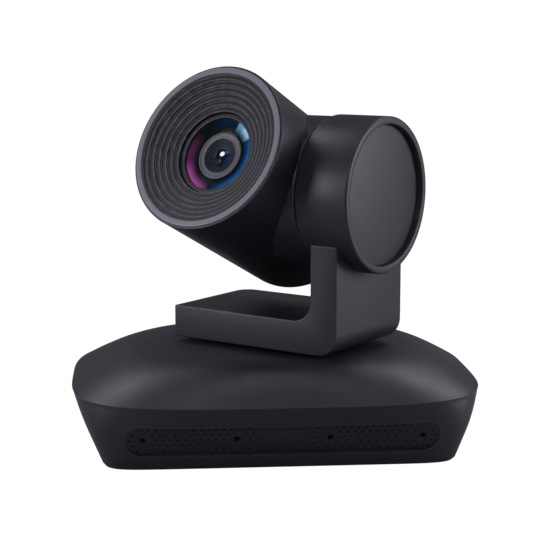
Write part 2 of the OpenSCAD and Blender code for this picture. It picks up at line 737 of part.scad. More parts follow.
module hood_ring() {
    color("#6a6a72") at_lens() rotate_extrude($fn = 128) polygon([[ring_in, head_front - 4.5],
        [ring_r, head_front - 4.5], [ring_r, head_front + 0.2], [ring_r - 0.5, head_front + 0.7],
        [ring_in + 0.5, head_front + 0.7], [ring_in, head_front + 0.2]]);
}

// Steps run down from the ring to the lens
module step_baffle() {
    w = (ring_in - 0.1 - baffle_in) / steps;
    color(dark) at_lens() rotate_extrude($fn = 128) polygon(concat(
        [[baffle_in, baffle_low - 2], [ring_in + 1, head_front - 7.6], [bore_r - 0.1, head_front - 7.6],
         [bore_r - 0.1, head_front - 4.5], [ring_in - 0.1, head_front - 4.5]],
        [for (i = [0 : steps - 1], j = [0, 1])
            [ring_in - 0.1 - (i + j) * w, baffle_top - i * step_fall]]));
}

module lens_retainer() {
    color("#16161a") at_lens() rotate_extrude($fn = 96) polygon([[glass_r, seat_z], [glass_r + 2.3, seat_z],
        [glass_r + 2.3, lens_top - 0.6], [glass_r + 1.7, lens_top], [glass_r + 0.6, lens_top],
        [glass_r, lens_top - 0.6]]);
}

// Glass with a domed front: flat edge, spherical cap
module glass(r, edge, rise) {
    rs = (r * r + rise * rise) / (2 * rise);
    cylinder(r = r, h = edge, $fn = 96);
    translate([0, 0, edge]) intersection() {
        translate([0, 0, rise - rs]) sphere(rs, $fn = 96);
        cylinder(r = r, h = rise + 1, $fn = 96);
    }
}

module front_lens() {
    color("#40506a") at_lens() translate([0, 0, glass_z]) {
        cylinder(r = glass_r + 1.2, h = seat_z - glass_z, $fn = 96);
        translate([0, 0, seat_z - glass_z]) glass(glass_r - 0.1, 0.2, 2.6);
    }
}

module lens_barrel() {
    color(dark) at_lens() difference() {
        union() {
            translate([0, 0, -12]) cylinder(r = 18, h = mount_z + 15, $fn = 96);
            translate([0, 0, mount_z + 3]) cylinder(r = glass_r + 2.3, h = seat_z - mount_z - 3, $fn = 96);
        }
        translate([0, 0, glass_z]) cylinder(r = glass_r + 1.3, h = 10, $fn = 96);
        translate([0, 0, glass_z - 8]) cylinder(r = 12.5, h = 10, $fn = 96);
        translate([0, 0, glass_z - 10]) cylinder(r = 11, h = 10, $fn = 96);
        translate([0, 0, -10]) cylinder(r = 14, h = glass_z + 0.5, $fn = 96);
        translate([0, 0, -13]) cylinder(r = 8, h = 10);
    }
}

module inner_ring() {
    color("#85858c") at_lens() translate([0, 0, glass_z - 6]) linear_extrude(4.5) ring2(12.4, 9.1);
}

module inner_lens() {
    color("#303a50") at_lens() translate([0, 0, glass_z - 8]) {
        cylinder(r = 12.4, h = 2, $fn = 96);
        translate([0, 0, 2]) glass(9, 0.2, 2);
    }
}

module lens_mount() {
    color("#77797d") at_lens() translate([0, 0, mount_z]) linear_extrude(3) difference() {
        circle(bore_r - 0.1, $fn = 96);
        circle(18.05, $fn = 96);
        for (a = [0 : 2]) rotate(90 + a * 120) translate([29, 0]) circle(5, $fn = 32);
    }
}

module guide_rods() {
    color(steel) at_lens() for (s = [-1, 1]) translate([0, s * 11.8, -10])
        cylinder(r = 0.9, h = glass_z + 0.5, $fn = 32);
}

module cell(ri, l) {
    linear_extrude(l) difference() {
        ring2(13.93, ri);
        for (s = [-1, 1]) translate([0, s * 11.8]) circle(0.96, $fn = 32);
    }
    linear_extrude(1) ring2(ri + 0.5, ri - 1.2);
}

zoom_z = 13;
focus_z = -3;
module zoom_cell() {
    color("#3c3c40") at_lens() translate([0, 0, zoom_z]) cell(9, 5);
}

module zoom_lens() {
    color("#405a50") at_lens() translate([0, 0, zoom_z + 1]) cylinder(r = 8.9, h = 3);
}

module focus_cell() {
    color("#3c3c40") at_lens() translate([0, 0, focus_z]) cell(8, 4);
}

module focus_lens() {
    color("#405a50") at_lens() translate([0, 0, focus_z + 1]) cylinder(r = 7.9, h = 2.4);
}

module sensor_board() {
    color(green) at_lens() translate([0, 0, -13.6]) linear_extrude(1.6) square([34, 30], center = true);
}

module image_sensor() {
    color("#202024") at_lens() translate([0, 0, -12]) linear_extrude(1.4) square([12, 9], center = true);
}

module head_heat_sink() {
    color("#8a8c90") at_lens() {
        translate([0, 0, -15.6]) linear_extrude(2) square([30, 26], center = true);
        translate([0, 0, -22]) linear_extrude(6.4) for (i = [-3 : 3]) translate([i * 4.4, 0])
            square([1.4, 26], center = true);
    }
}

module tilt_shaft() {
    color(steel) at_head() rotate([0, 90, 0]) difference() {
        union() {
            translate([0, 0, hub_end - wall - 2.5]) cylinder(r = tilt_shaft_r + 7, h = 2.5);
            translate([0, 0, hub_end - wall - 2.5]) cylinder(r = tilt_shaft_r, h = gear_x + 5 - hub_end + wall + 2.5);
        }
        translate([0, 0, gear_x + 4]) rotate_extrude() translate([tilt_shaft_r - 0.6, 0]) square([2, 0.8]);
        translate([0, 0, 10]) cylinder(r = tilt_shaft_r - 2, h = 60);
    }
}

module tilt_gear() {
    color("#d8d4c4") at_head() rotate([0, 90, 0]) translate([0, 0, gear_x]) linear_extrude(4) difference() {
        rotate(180 + tilt_rest + 180 / tilt_teeth) gear2(tilt_teeth, tilt_mod);
        circle(tilt_shaft_r + 0.01);
    }
}

module tilt_clip() {
    color(steel) at_head() rotate([0, 90, 0]) translate([0, 0, gear_x + 4]) linear_extrude(0.7) difference() {
        ring2(tilt_shaft_r + 2, tilt_shaft_r - 0.55);
        translate([0, -1.5]) square([9, 3]);
    }
}

base_shell();
base_plate();
rubber_feet();
base_screws();
tripod_insert();
mic_grille();
ir_window();
mic_board();
mic_capsules();
ir_receiver();
main_board();
processor();
heat_sink();
port_panel();
dc_jack();
usb_port();
hdmi_port();
lan_port();
audio_jack();
pan_frame();
pan_frame_screws();
pan_bearing();
pan_motor();
pan_pinion();
yoke_bracket();
yoke_cover();
yoke_cover_screws();
pan_shaft();
pan_gear();
pan_clip();
drum_housing();
drum_cover();
tilt_bearing();
tilt_motor_plate();
tilt_motor();
motor_plate_screws();
tilt_pinion();
head_shell();
head_rear();
head_screws();
hood_ring();
step_baffle();
lens_retainer();
front_lens();
lens_barrel();
inner_ring();
inner_lens();
lens_mount();
guide_rods();
zoom_cell();
zoom_lens();
focus_cell();
focus_lens();
sensor_board();
image_sensor();
head_heat_sink();
tilt_shaft();
tilt_gear();
tilt_clip();
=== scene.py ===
"""Looks of a conference pan-tilt-zoom camera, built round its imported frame.

Lengths in the property groups are metres. Profiles in the operators are written in millimetres
and turned into metres by the functions that make the meshes.
"""

import functools
import json
import math

import bmesh
import bpy
from bpy.props import FloatProperty, FloatVectorProperty, IntProperty, PointerProperty
from mathutils import Matrix, Vector


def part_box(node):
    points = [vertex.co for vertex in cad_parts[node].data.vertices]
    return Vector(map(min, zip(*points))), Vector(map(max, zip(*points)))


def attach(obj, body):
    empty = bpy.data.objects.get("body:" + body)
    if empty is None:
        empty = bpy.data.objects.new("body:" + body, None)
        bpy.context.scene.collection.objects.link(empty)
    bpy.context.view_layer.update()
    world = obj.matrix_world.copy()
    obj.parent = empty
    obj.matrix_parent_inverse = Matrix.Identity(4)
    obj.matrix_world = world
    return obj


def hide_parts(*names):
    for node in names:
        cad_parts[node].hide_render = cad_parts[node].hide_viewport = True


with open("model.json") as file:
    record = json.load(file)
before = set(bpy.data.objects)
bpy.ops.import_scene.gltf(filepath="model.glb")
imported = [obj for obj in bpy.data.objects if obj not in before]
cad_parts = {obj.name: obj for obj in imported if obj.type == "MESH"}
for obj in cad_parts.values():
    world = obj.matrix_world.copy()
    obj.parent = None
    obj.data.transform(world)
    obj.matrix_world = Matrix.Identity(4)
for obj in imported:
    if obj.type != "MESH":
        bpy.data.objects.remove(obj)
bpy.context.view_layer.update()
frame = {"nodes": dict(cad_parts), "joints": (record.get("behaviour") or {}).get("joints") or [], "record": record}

bl_info = {
    "name": "Conference camera",
    "version": (1, 0, 0),
    "blender": (4, 5, 0),
    "location": "View3D > Sidebar > Camera",
    "description": "Casings, lens, microphone bar and finishes of a pan-tilt-zoom camera",
    "category": "Object",
}

MM = 0.001
JOINTS = {j["name"]: j for j in frame["joints"]}
SLOT_OF = {s["node"]: s["material_slot"] for s in frame["record"]["subparts"]}


# ---- property groups ----
def length(name, description, default):
    return FloatProperty(name=name, description=description, default=default, unit="LENGTH", precision=5)


def colour(name, description, default):
    return FloatVectorProperty(name=name, description=description, default=default, size=3,
                               min=0, max=1, subtype="COLOR")


def share(name, description, default):
    return FloatProperty(name=name, description=description, default=default, min=0, max=1, subtype="FACTOR")


def angle(name, description, degrees):
    return FloatProperty(name=name, description=description, default=math.radians(degrees), subtype="ANGLE",
                         unit="ROTATION")


def power(name, description, default):
    return FloatProperty(name=name, description=description, default=default, min=0, unit="POWER")


class CasingSizes(bpy.types.PropertyGroup):
    """Sizes of the base casing"""
    width: length("Width", "Width of the base at its rim", 0.2088)
    depth: length("Depth", "Depth of the base at its rim", 0.1698)
    rim_height: length("Rim height", "Height of the rim line above the table", 0.035)
    back_round: share("Back roundness", "Squareness of the back half of the base against the front half", 0.8)
    top_height: length("Top height", "Height of the flat top above the table", 0.053)
    flare: length("Flare", "How far the walls lean out up to the rim", 0.0155)
    plateau: length("Plateau", "Radius of the flat top", 0.054)
    wall: length("Wall", "Thickness of the mouldings", 0.0025)
    neck: length("Neck hole", "Radius of the hole for the yoke's neck", 0.022)
    sides: IntProperty(name="Sides", description="Points round the casing", default=256, min=64)


class BarSizes(bpy.types.PropertyGroup):
    """Sizes of the microphone bar"""
    height: length("Height", "Height of the slot", 0.0176)
    half: length("Half length", "Half the length of the slot", 0.0771)
    middle: length("Middle", "Height of the slot's middle above the table", 0.0165)
    recess: length("Recess", "Depth of the bar below the wall", 0.0026)
    spacing: length("Microphone spacing", "Distance between microphone holes", 0.0457)
    bore: length("Perforation", "Radius of a perforation", 0.00058)
    mic_bore: length("Microphone hole", "Radius of a microphone hole", 0.0016)
    window_width: length("Window width", "Width of the infrared window", 0.0212)
    window_height: length("Window height", "Height of the infrared window", 0.008)


class YokeSizes(bpy.types.PropertyGroup):
    """Sizes of the yoke and its drum"""
    depth: length("Depth", "Depth of the yoke, front to back", 0.063)
    plate: length("Plate", "Thickness of the plate", 0.0166)
    arm: length("Arm", "Thickness of the arm", 0.0152)
    free_end: length("Free end", "Pan axis to the free end of the plate", 0.0402)
    outer: length("Outer face", "Pan axis to the outer face of the arm", 0.0595)
    bottom: length("Bottom", "Height of the underside of the plate", 0.055)
    drum_radius: length("Drum radius", "Radius of the drum", 0.039)
    drum_outer: length("Drum outer face", "Pan axis to the drum's outer rim", 0.0694)
    drum_inner: length("Drum inner face", "Pan axis to the drum's inner face", 0.0396)
    edge: length("Edge", "Rounding of the moulded edges", 0.0008)


class HeadSizes(bpy.types.PropertyGroup):
    """Sizes of the head and its lens, measured from the tilt axis along the lens axis"""
    radius: length("Radius", "Outer radius of the hood", 0.0431)
    front: length("Front", "Tilt axis to the front edge", 0.0555)
    back: length("Back", "Tilt axis to the rear face", 0.0405)
    offset: length("Offset", "Pan axis to the lens axis, sideways", -0.0045)
    hub_radius: length("Hub radius", "Radius of the hub", 0.038)
    hub_end: length("Hub end", "Pan axis to the end face of the hub", 0.0389)
    steps: IntProperty(name="Steps", description="Steps of the baffle", default=6, min=2)
    step_fall: length("Step fall", "Fall of each step", 0.00125)
    glass: length("Glass", "Radius of the clear glass", 0.019)
    glass_level: length("Glass level", "Underside of the front glass", 0.0422)
    seat_level: length("Seat level", "Top of the front glass's edge", 0.0444)


class Finishes(bpy.types.PropertyGroup):
    """Colours and roughness of the finishes"""
    shell: colour("Shell", "Main plastic", (0.0150, 0.0145, 0.0200))
    # painted highlight: lighter main plastic on faces that look up, standing for light from above
    shell_top_highlight: colour("Highlight", "Main plastic where it faces up", (0.020, 0.0195, 0.0265))
    dark: colour("Dark", "Covers, grille and rear panel", (0.0105, 0.010, 0.0140))
    hood: colour("Hood ring", "Ring round the hood", (0.205, 0.203, 0.232))
    baffle: colour("Baffle", "Steps round the lens", (0.011, 0.0107, 0.0140))
    # painted reflections of the lamps on the lens, which also glow through Emission
    magenta: colour("Reflected red", "Red side of the lens reflection", (0.46, 0.085, 0.30))
    blue: colour("Reflected blue", "Blue side of the lens reflection", (0.008, 0.17, 0.52))
    teal: colour("Reflected teal", "Teal patch of the lens reflection", (0.17, 0.42, 0.52))
    grain: length("Grain", "Depth of the plastic's grain", 0.00003)
    shell_roughness: share("Shell roughness", "Roughness of the main plastic", 0.43)


class StageSettings(bpy.types.PropertyGroup):
    """Camera, floor and lights"""
    target: FloatVectorProperty(name="Target", description="Point the camera looks at", size=3,
                                default=(-0.00234, 0.0, 0.09028), subtype="TRANSLATION", unit="LENGTH")
    distance: length("Distance", "Camera to target", 0.8025)
    azimuth: angle("Azimuth", "Turn of the camera round the base, to the left", 4.714)
    pitch: angle("Pitch", "Height angle of the camera", 8.881)
    lens: FloatProperty(name="Lens", description="Focal length on a 36 mm sensor", default=102.87, unit="CAMERA")
    floor: colour("Floor", "Floor colour", (0.42, 0.42, 0.43))
    glow: share("Floor glow", "How much of the floor's brightness is its own", 0.88)
    sky: FloatProperty(name="Sky", description="Strength of the even light", default=0.12, min=0)
    key: power("Key", "Power of each light behind", 4.6)
    top: power("Top", "Power of the light overhead", 2.6)
    side: power("Sides", "Power of each side light", 9.0)
    front: power("Front", "Power of the light by the camera", 7.0)


GROUPS = {"ptz_casing": CasingSizes, "ptz_bar": BarSizes, "ptz_yoke": YokeSizes, "ptz_head": HeadSizes,
          "ptz_finish": Finishes, "ptz_stage": StageSettings}


# ---- frames of the turning parts ----
def axes(origin, x, z):
    """Matrix with these x and z directions and this origin"""
    y = z.cross(x)
    m = Matrix((x, y, z)).transposed().to_4x4()
    m.translation = origin
    return m


TILT_AXIS = -Vector(JOINTS["tilt"]["axis"])          # from the head towards the drum
TILT_AT = Vector(JOINTS["tilt"]["pos_m"])
PAN_AT = Vector(JOINTS["pan"]["pos_m"])
LENS_AXIS = Vector(JOINTS["zoom"]["axis"])
UP = Vector((0, 0, 1))
AT_YOKE = axes(Vector((PAN_AT.x, PAN_AT.y, 0)), TILT_AXIS, UP)
AT_DRUM = axes(TILT_AT, -UP, TILT_AXIS)


def at_lens():
    return axes(TILT_AT + TILT_AXIS * bpy.context.scene.ptz_head.offset, TILT_AXIS, LENS_AXIS)


# ---- meshes ----
def new_object(name, verts, faces, scale=MM):
    mesh = bpy.data.meshes.new(name)
    mesh.from_pydata([Vector(v) * scale for v in verts], [], faces)
    obj = bpy.data.objects.new(name, mesh)
    bpy.context.scene.collection.objects.link(obj)
    tidy_mesh(obj)
    return obj


def reworked(obj, work):
    """Does the work on the object's mesh, and turns every face outwards"""
    bm = bmesh.new()
    bm.from_mesh(obj.data)
    work(bm)
    bmesh.ops.recalc_face_normals(bm, faces=bm.faces)
    bm.to_mesh(obj.data)
    bm.free()


def tidy_mesh(obj):
    reworked(obj, lambda bm: bmesh.ops.remove_doubles(bm, verts=bm.verts, dist=1e-7))


def placed(obj, matrix):
    """Moves the mesh, and leaves its object at the origin"""
    obj.data.transform(matrix)
    obj.data.update()
    return obj


def baked(obj):
    """Turns the modifiers' result into the object's own mesh"""
    graph = bpy.context.evaluated_depsgraph_get()
    mesh = bpy.data.meshes.new_from_object(obj.evaluated_get(graph))
    obj.modifiers.clear()
    obj.data = mesh
    mesh.name = obj.name
    return obj


def joined(obj, other, operation="DIFFERENCE"):
    """Boolean of two closed meshes; the other one is used up"""
    m = obj.modifiers.new("cut", "BOOLEAN")
    m.operation = operation
    m.solver = "EXACT"
    m.object = other
    baked(obj)
    bpy.data.objects.remove(other)


def rounded(points, pieces=5):
    """Closed outline through points (x, y) or (x, y, radius), with the corners that have a radius rounded"""
    made = []
    n = len(points)
    for i, p in enumerate(points):
        here = Vector(p[:2])
        radius = p[2] if len(p) > 2 else 0
        if radius <= 0:
            made.append(tuple(here))
            continue
        a = Vector(points[i - 1][:2]) - here
        b = Vector(points[(i + 1) % n][:2]) - here
        half = a.angle(b) / 2
        reach = min(radius / math.tan(half), a.length * 0.499, b.length * 0.499)
        r = reach * math.tan(half)
        centre = here + (a.normalized() + b.normalized()).normalized() * (r / math.sin(half))
        start = here + a.normalized() * reach - centre
        turn = start.angle_signed(here + b.normalized() * reach - centre)
        for k in range(pieces + 1):
            t = -turn * k / pieces
            made.append((centre.x + start.x * math.cos(t) - start.y * math.sin(t),
                         centre.y + start.x * math.sin(t) + start.y * math.cos(t)))
    return made


def turned(name, profile, matrix, sides=192):
    """Closed solid of revolution about z through a closed profile of (radius, height[, rounding])"""
    line = rounded(profile)
    verts, faces = [], []
    for r, z in line:
        for k in range(sides):
            t = math.tau * k / sides
            verts.append((r * math.cos(t), r * math.sin(t), z))
    for i in range(len(line)):
        j = (i + 1) % len(line)
        if line[i][0] < 1e-6 and line[j][0] < 1e-6:
            continue
        for k in range(sides):
            m = (k + 1) % sides
            faces.append((i * sides + k, j * sides + k, j * sides + m, i * sides + m))
    obj = new_object(name, verts, faces)
    # at the poles, faces have no area
    reworked(obj, lambda bm: bmesh.ops.dissolve_degenerate(bm, dist=1e-8, edges=bm.edges))
    return placed(obj, matrix)


def prism(name, outline, low, high, matrix):
    """Straight prism on a flat outline, from low to high along z"""
    n = len(outline)
    verts = [(x, y, z) for z in (low, high) for x, y in outline]
    faces = [tuple(range(n))[::-1], tuple(range(n, 2 * n))]
    faces += [(i, (i + 1) % n, n + (i + 1) % n, n + i) for i in range(n)]
    return placed(new_object(name, verts, faces), matrix)


def slot_outline(width, height):
    w, h = width / 2, height / 2
    return rounded([(-w, -h, h), (w, -h, h), (w, h, h), (-w, h, h)], 20)


def block(name, low, high, matrix):
    return prism(name, [(low[0], low[1]), (high[0], low[1]), (high[0], high[1]), (low[0], high[1])],
                 low[2], high[2], matrix)


def soft_edges(obj, width, pieces=3, angle=32):
    m = obj.modifiers.new("edges", "BEVEL")
    m.width = width
    m.segments = pieces
    m.limit_method = "ANGLE"
    m.angle_limit = math.radians(angle)
    m.use_clamp_overlap = True
    m.miter_outer = "MITER_ARC"
    return baked(obj)


def finished(obj, body, slot, *stands_for, angle=30, material=None):
    """Shades the piece, gives it its finish and hangs it on its body"""
    mesh = obj.data
    mesh.materials.clear()
    mesh.materials.append(material or finish_of(slot))
    for p in mesh.polygons:
        p.material_index = 0
        p.use_smooth = True
    mesh.set_sharp_from_angle(angle=math.radians(angle))
    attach(obj, body)
    if stands_for:
        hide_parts(*stands_for)


# ---- node trees ----
SOCKETS = {"f": "NodeSocketFloat", "v": "NodeSocketVector", "i": "NodeSocketInt", "m": "NodeSocketMaterial",
           "g": "NodeSocketGeometry"}


def plug(tree, value, socket):
    """Links the socket to another one, or sets it to a plain value"""
    if isinstance(value, bpy.types.NodeSocket):
        tree.links.new(value, socket)
    elif socket.type == "RGBA":
        socket.default_value = (*value[:3], 1)
    else:
        socket.default_value = value


def fill(tree, n, **inputs):
    """Links or sets inputs of a node, by name or by place as _0"""
    for key, v in inputs.items():
        plug(tree, v, n.inputs[int(key[1:]) if key[1:].isdigit() else key.replace("_", " ")])
    return n


def node(tree, kind, settings=None, **inputs):
    n = tree.nodes.new(kind)
    for key, v in (settings or {}).items():
        setattr(n, key, v)
    return fill(tree, n, **inputs)


def result(tree, kind, settings=None, **inputs):
    """First output of such a node"""
    return node(tree, kind, settings, **inputs).outputs[0]


def maths(tree, operation, a, b=None, clamp=False):
    n = node(tree, "ShaderNodeMath", {"operation": operation, "use_clamp": clamp}, _0=a)
    if b is not None:
        plug(tree, b, n.inputs[1])
    return n.outputs[0]


def sums(tree):
    """Adding, taking away, multiplying and dividing in this tree"""
    return [functools.partial(maths, tree, operation) for operation in ("ADD", "SUBTRACT", "MULTIPLY", "DIVIDE")]


def add_sockets(tree, ins, outs):
    """Gives the tree its sockets, and returns those inside it"""
    for name, kind, *default in ins:
        s = tree.interface.new_socket(name=name, in_out="INPUT", socket_type=SOCKETS[kind])
        if default:
            s.default_value = default[0]
    for name, kind in outs:
        tree.interface.new_socket(name=name, in_out="OUTPUT", socket_type=SOCKETS[kind])
    return tree.nodes.new("NodeGroupInput").outputs, tree.nodes.new("NodeGroupOutput").inputs


def emptied(owner):
    """Node tree of a material or world, with nothing in it"""
    owner.use_nodes = True
    owner.node_tree.nodes.clear()
    return owner.node_tree


# ---- shader node groups ----
def remap(tree, value, low, high, to_low=0.0, to_high=1.0):
    return result(tree, "ShaderNodeMapRange", {"interpolation_type": "SMOOTHSTEP"}, Value=value,
                  From_Min=low, From_Max=high, To_Min=to_low, To_Max=to_high)


def noise(tree, vector, scale, detail):
    return result(tree, "ShaderNodeTexNoise", Vector=vector, Scale=scale, Detail=detail)


def mixed(tree, factor, a, b):
    n = node(tree, "ShaderNodeMix", {"data_type": "RGBA", "clamp_factor": True}, _0=factor, _6=a, _7=b)
    return n.outputs[2]


def bump(tree, height, distance, strength=1.0):
    return result(tree, "ShaderNodeBump", Strength=strength, Distance=distance, Height=height)


def use_group(tree, name, build, vector, **values):
    """Outputs of the shader group of this name, which is built the first time"""
    inner = bpy.data.node_groups.get(name)
    if inner is None:
        inner = bpy.data.node_groups.new(name, "ShaderNodeTree")
        build(inner)
    return node(tree, "ShaderNodeGroup", {"node_tree": inner}, Vector=vector, **values).outputs


def build_grain(tree):
    """Fine spark-eroded grain of a moulding"""
    i, o = add_sockets(tree, [("Vector", "v"), ("Scale", "f", 2200.0), ("Cloud Scale", "f", 45.0)],
                       [("Height", "f"), ("Tone", "f")])
    add, _, mul, _ = sums(tree)
    fine = noise(tree, i["Vector"], i["Scale"], 3.0)
    cloud = noise(tree, i["Vector"], i["Cloud Scale"], 4.0)
    plug(tree, fine, o["Height"])
    plug(tree, add(mul(fine, 0.45), mul(cloud, 0.55)), o["Tone"])


def build_edge_highlight(tree):
    """Mask of the edges, broken up by noise, where a lighter colour is painted as a highlight"""
    i, o = add_sockets(tree, [("Vector", "v"), ("Radius", "f", 0.0011), ("Amount", "f", 0.5)], [("Mask", "f")])
    bevel = result(tree, "ShaderNodeBevel", {"samples": 4}, Radius=i["Radius"])
    flat = node(tree, "ShaderNodeNewGeometry").outputs["True Normal"]
    bend = node(tree, "ShaderNodeVectorMath", {"operation": "DOT_PRODUCT"}, _0=bevel, _1=flat)
    edge = remap(tree, bend.outputs["Value"], 0.985, 0.86)
    broken = remap(tree, noise(tree, i["Vector"], 260.0, 3.0), 0.35, 0.6, 0.45, 1.0)
    plug(tree, maths(tree, "MULTIPLY", maths(tree, "MULTIPLY", edge, broken), i["Amount"], True), o["Mask"])


def build_top_highlight(tree):
    """Mask of faces that look up, broken up by a noise cloud, where a lighter colour is painted as a highlight for
    light from above
    """
    i, o = add_sockets(tree, [("Vector", "v"), ("Low", "f", 0.0), ("High", "f", 1.0), ("Amount", "f", 1.0)],
                       [("Mask", "f")])
    normal = node(tree, "ShaderNodeNewGeometry").outputs["Normal"]
    up = node(tree, "ShaderNodeSeparateXYZ", _0=normal).outputs["Z"]
    facing = remap(tree, up, i["Low"], i["High"])
    cloud = remap(tree, noise(tree, i["Vector"], 30.0, 5.0), 0.2, 0.8, 0.8, 1.0)
    plug(tree, maths(tree, "MULTIPLY", maths(tree, "MULTIPLY", facing, cloud), i["Amount"], True), o["Mask"])


def build_brushing(tree):
    """Fine lines along x, as left by a belt or a lathe tool"""
    i, o = add_sockets(tree, [("Vector", "v"), ("Scale", "f", 900.0)], [("Height", "f")])
    stretched = result(tree, "ShaderNodeMapping", Scale=(0.05, 1.0, 1.0), Vector=i["Vector"])
    plug(tree, noise(tree, stretched, i["Scale"], 4.0), o["Height"])


# ---- finishes ----
def blank(name):
    """A material with its output, a Principled shader and the object's coordinates"""
    mat = bpy.data.materials.new(name)
    tree = emptied(mat)
    shader = node(tree, "ShaderNodeBsdfPrincipled")
    node(tree, "ShaderNodeOutputMaterial", Surface=shader.outputs[0])
    return mat, tree, shader, node(tree, "ShaderNodeTexCoord").outputs["Object"]


def once(make):
    """Makes a material the first time its name is asked for, and finds it after that"""
    def found(name, *values, **named):
        return bpy.data.materials.get(name) or make(name, *values, **named)
    return found


@once
def moulded(name, base, roughness, grain, grain_scale=2200.0, specular=0.5, edge_highlight=0.5, edge=None, top_highlight=None):
    """Grained plastic with a painted highlight along its edges and, where it is given one, a painted highlight on
    faces that look up
    """
    mat, tree, shader, where = blank(name)
    g = use_group(tree, "moulded_grain", build_grain, where, Scale=grain_scale)
    # painted highlight along the edges
    edge_lit = use_group(tree, "painted_edge_highlight", build_edge_highlight, where, Amount=edge_highlight)["Mask"]
    shade = mixed(tree, g["Tone"], [c * 0.84 for c in base], [c * 1.16 for c in base])
    # painted highlight on faces that look up
    if top_highlight is not None:
        up = use_group(tree, "painted_top_highlight", build_top_highlight, where, Low=-0.05, High=0.95)["Mask"]
        shade = mixed(tree, up, shade, top_highlight)
    # the default colour of the painted edge highlight is lighter than the base
    edge = edge or [min(1, c * 2.0 + 0.015) for c in base]
    rough = remap(tree, g["Tone"], 0.3, 0.7, roughness - 0.05, roughness + 0.05)
    fill(tree, shader, Base_Color=mixed(tree, edge_lit, shade, edge), Specular_IOR_Level=specular,
         Roughness=maths(tree, "SUBTRACT", rough, maths(tree, "MULTIPLY", edge_lit, 0.12)),
         Normal=bump(tree, g["Height"], grain))
    return mat


@once
def metal(name, base, roughness=0.3, scale=900.0):
    """Bare metal with fine tool lines"""
    mat, tree, shader, where = blank(name)
    height = use_group(tree, "brushing", build_brushing, where, Scale=scale)["Height"]
    fill(tree, shader, Metallic=1.0, Normal=bump(tree, height, 0.00002, 0.6),
         Base_Color=mixed(tree, height, [c * 0.82 for c in base], [min(1, c * 1.12) for c in base]),
         Roughness=remap(tree, height, 0.3, 0.7, roughness - 0.07, roughness + 0.08))
    return mat


@once
def circuit_board(name):
    """Solder mask with copper tracks under it"""
    mat, tree, shader, where = blank(name)
    tracks = node(tree, "ShaderNodeTexBrick", Vector=where, Scale=110.0, Mortar_Size=0.03,
                  Color1=(0.012, 0.12, 0.05), Color2=(0.010, 0.10, 0.045), Mortar=(0.04, 0.24, 0.10))
    fill(tree, shader, Base_Color=tracks.outputs["Color"], Roughness=0.35,
         Normal=bump(tree, tracks.outputs["Fac"], 0.00003))
    return mat


@once
def gloss_black(name):
    """Dark window that only infrared light passes"""
    mat, tree, shader, where = blank(name)
    tone = use_group(tree, "moulded_grain", build_grain, where, Scale=400.0, Cloud_Scale=60.0)["Tone"]
    fill(tree, shader, Base_Color=mixed(tree, tone, (0.010, 0.009, 0.012), (0.016, 0.014, 0.018)),
         Roughness=remap(tree, tone, 0.2, 0.8, 0.16, 0.24))
    return mat


@once
def clear_glass(name):
    """Coated front glass: lamps pass it, and its face reflects with a cool tint"""
    mat = bpy.data.materials.new(name)
    tree = emptied(mat)
    through = result(tree, "ShaderNodeBsdfTransparent", Color=(0.93, 0.95, 1.0))
    face = result(tree, "ShaderNodeBsdfGlossy", Color=(0.05, 0.08, 0.085), Roughness=0.16)
    glancing = result(tree, "ShaderNodeFresnel", IOR=1.22)
    glass = result(tree, "ShaderNodeMixShader", _0=glancing, _1=through, _2=face)
    node(tree, "ShaderNodeOutputMaterial", Surface=glass)
    return mat


@once
def painted_reflections(name, ring_in, ring_out, vivid=1.0, glint=0.0):
    """Painted reflections of the lamps on a lens: red to one side, bluish to the other, dark at its rim and its
    middle; they also glow through Emission
    """
    mat, tree, shader, where = blank(name)
    f = bpy.context.scene.ptz_finish
    add, sub, mul, div = sums(tree)
    place = at_lens()
    across = place.inverted()
    offset = result(tree, "ShaderNodeVectorMath", {"operation": "SUBTRACT"}, _0=where, _1=place.translation)

    def along(direction):
        return node(tree, "ShaderNodeVectorMath", {"operation": "DOT_PRODUCT"}, _0=offset,
                    _1=direction).outputs["Value"]

    def reach(a, b):
        return maths(tree, "SQRT", add(mul(a, a), mul(b, b)))

    u, v = along(across[0][:3]), along(across[1][:3])
    radius = reach(u, v)
    rise = remap(tree, radius, ring_in, ring_out)
    deep = mul(rise, remap(tree, radius, ring_out * 1.06, ring_out))
    edge = mul(rise, deep)

    def towards(degrees, low, high, band):
        """Mask of the side of the lens that lies in this direction"""
        a = math.radians(degrees)
        dot = add(mul(u, math.cos(a)), mul(v, math.sin(a)))
        return mul(remap(tree, div(dot, radius), low, high), band)

    tint = (0.004, 0.005, 0.005)
    # painted reflections: bluish to the right, red to the lower left, faintly bluish at the top, a painted teal
    # window reflection and a pale streak at the top right
    for degrees, low, high, band, shade in (
            (-12, 0.10, 0.9, deep, [c * 0.42 for c in f.blue]), (-28, 0.4, 1.0, edge, f.blue),
            (200, 0.45, 1.0, deep, [c * 0.26 for c in f.magenta]), (228, 0.78, 1.0, edge, f.magenta),
            (76, 0.6, 1.0, edge, [c * 0.1 for c in f.blue]), (50, 0.945, 0.96, deep, f.teal),
            (44, 0.97, 1.0, edge, (0.55, 0.78, 0.82))):
        tint = mixed(tree, towards(degrees, low, high, band), tint, shade)
    tint = mixed(tree, vivid, (0.004, 0.005, 0.006), tint)
    # painted glint: a white spot that stands for a lamp's reflection on the inner lens
    if glint:
        away = reach(sub(u, glint * 0.15), sub(v, glint * 0.9))
        tint = mixed(tree, remap(tree, away, glint * 1.05, glint * 0.55), tint, (0.95, 1.0, 0.98))
    # the painted reflections and glint glow through Emission
    fill(tree, shader, Base_Color=tint, Emission_Color=tint, Emission_Strength=0.6, Specular_IOR_Level=0.06,
         Roughness=0.15)
    return mat


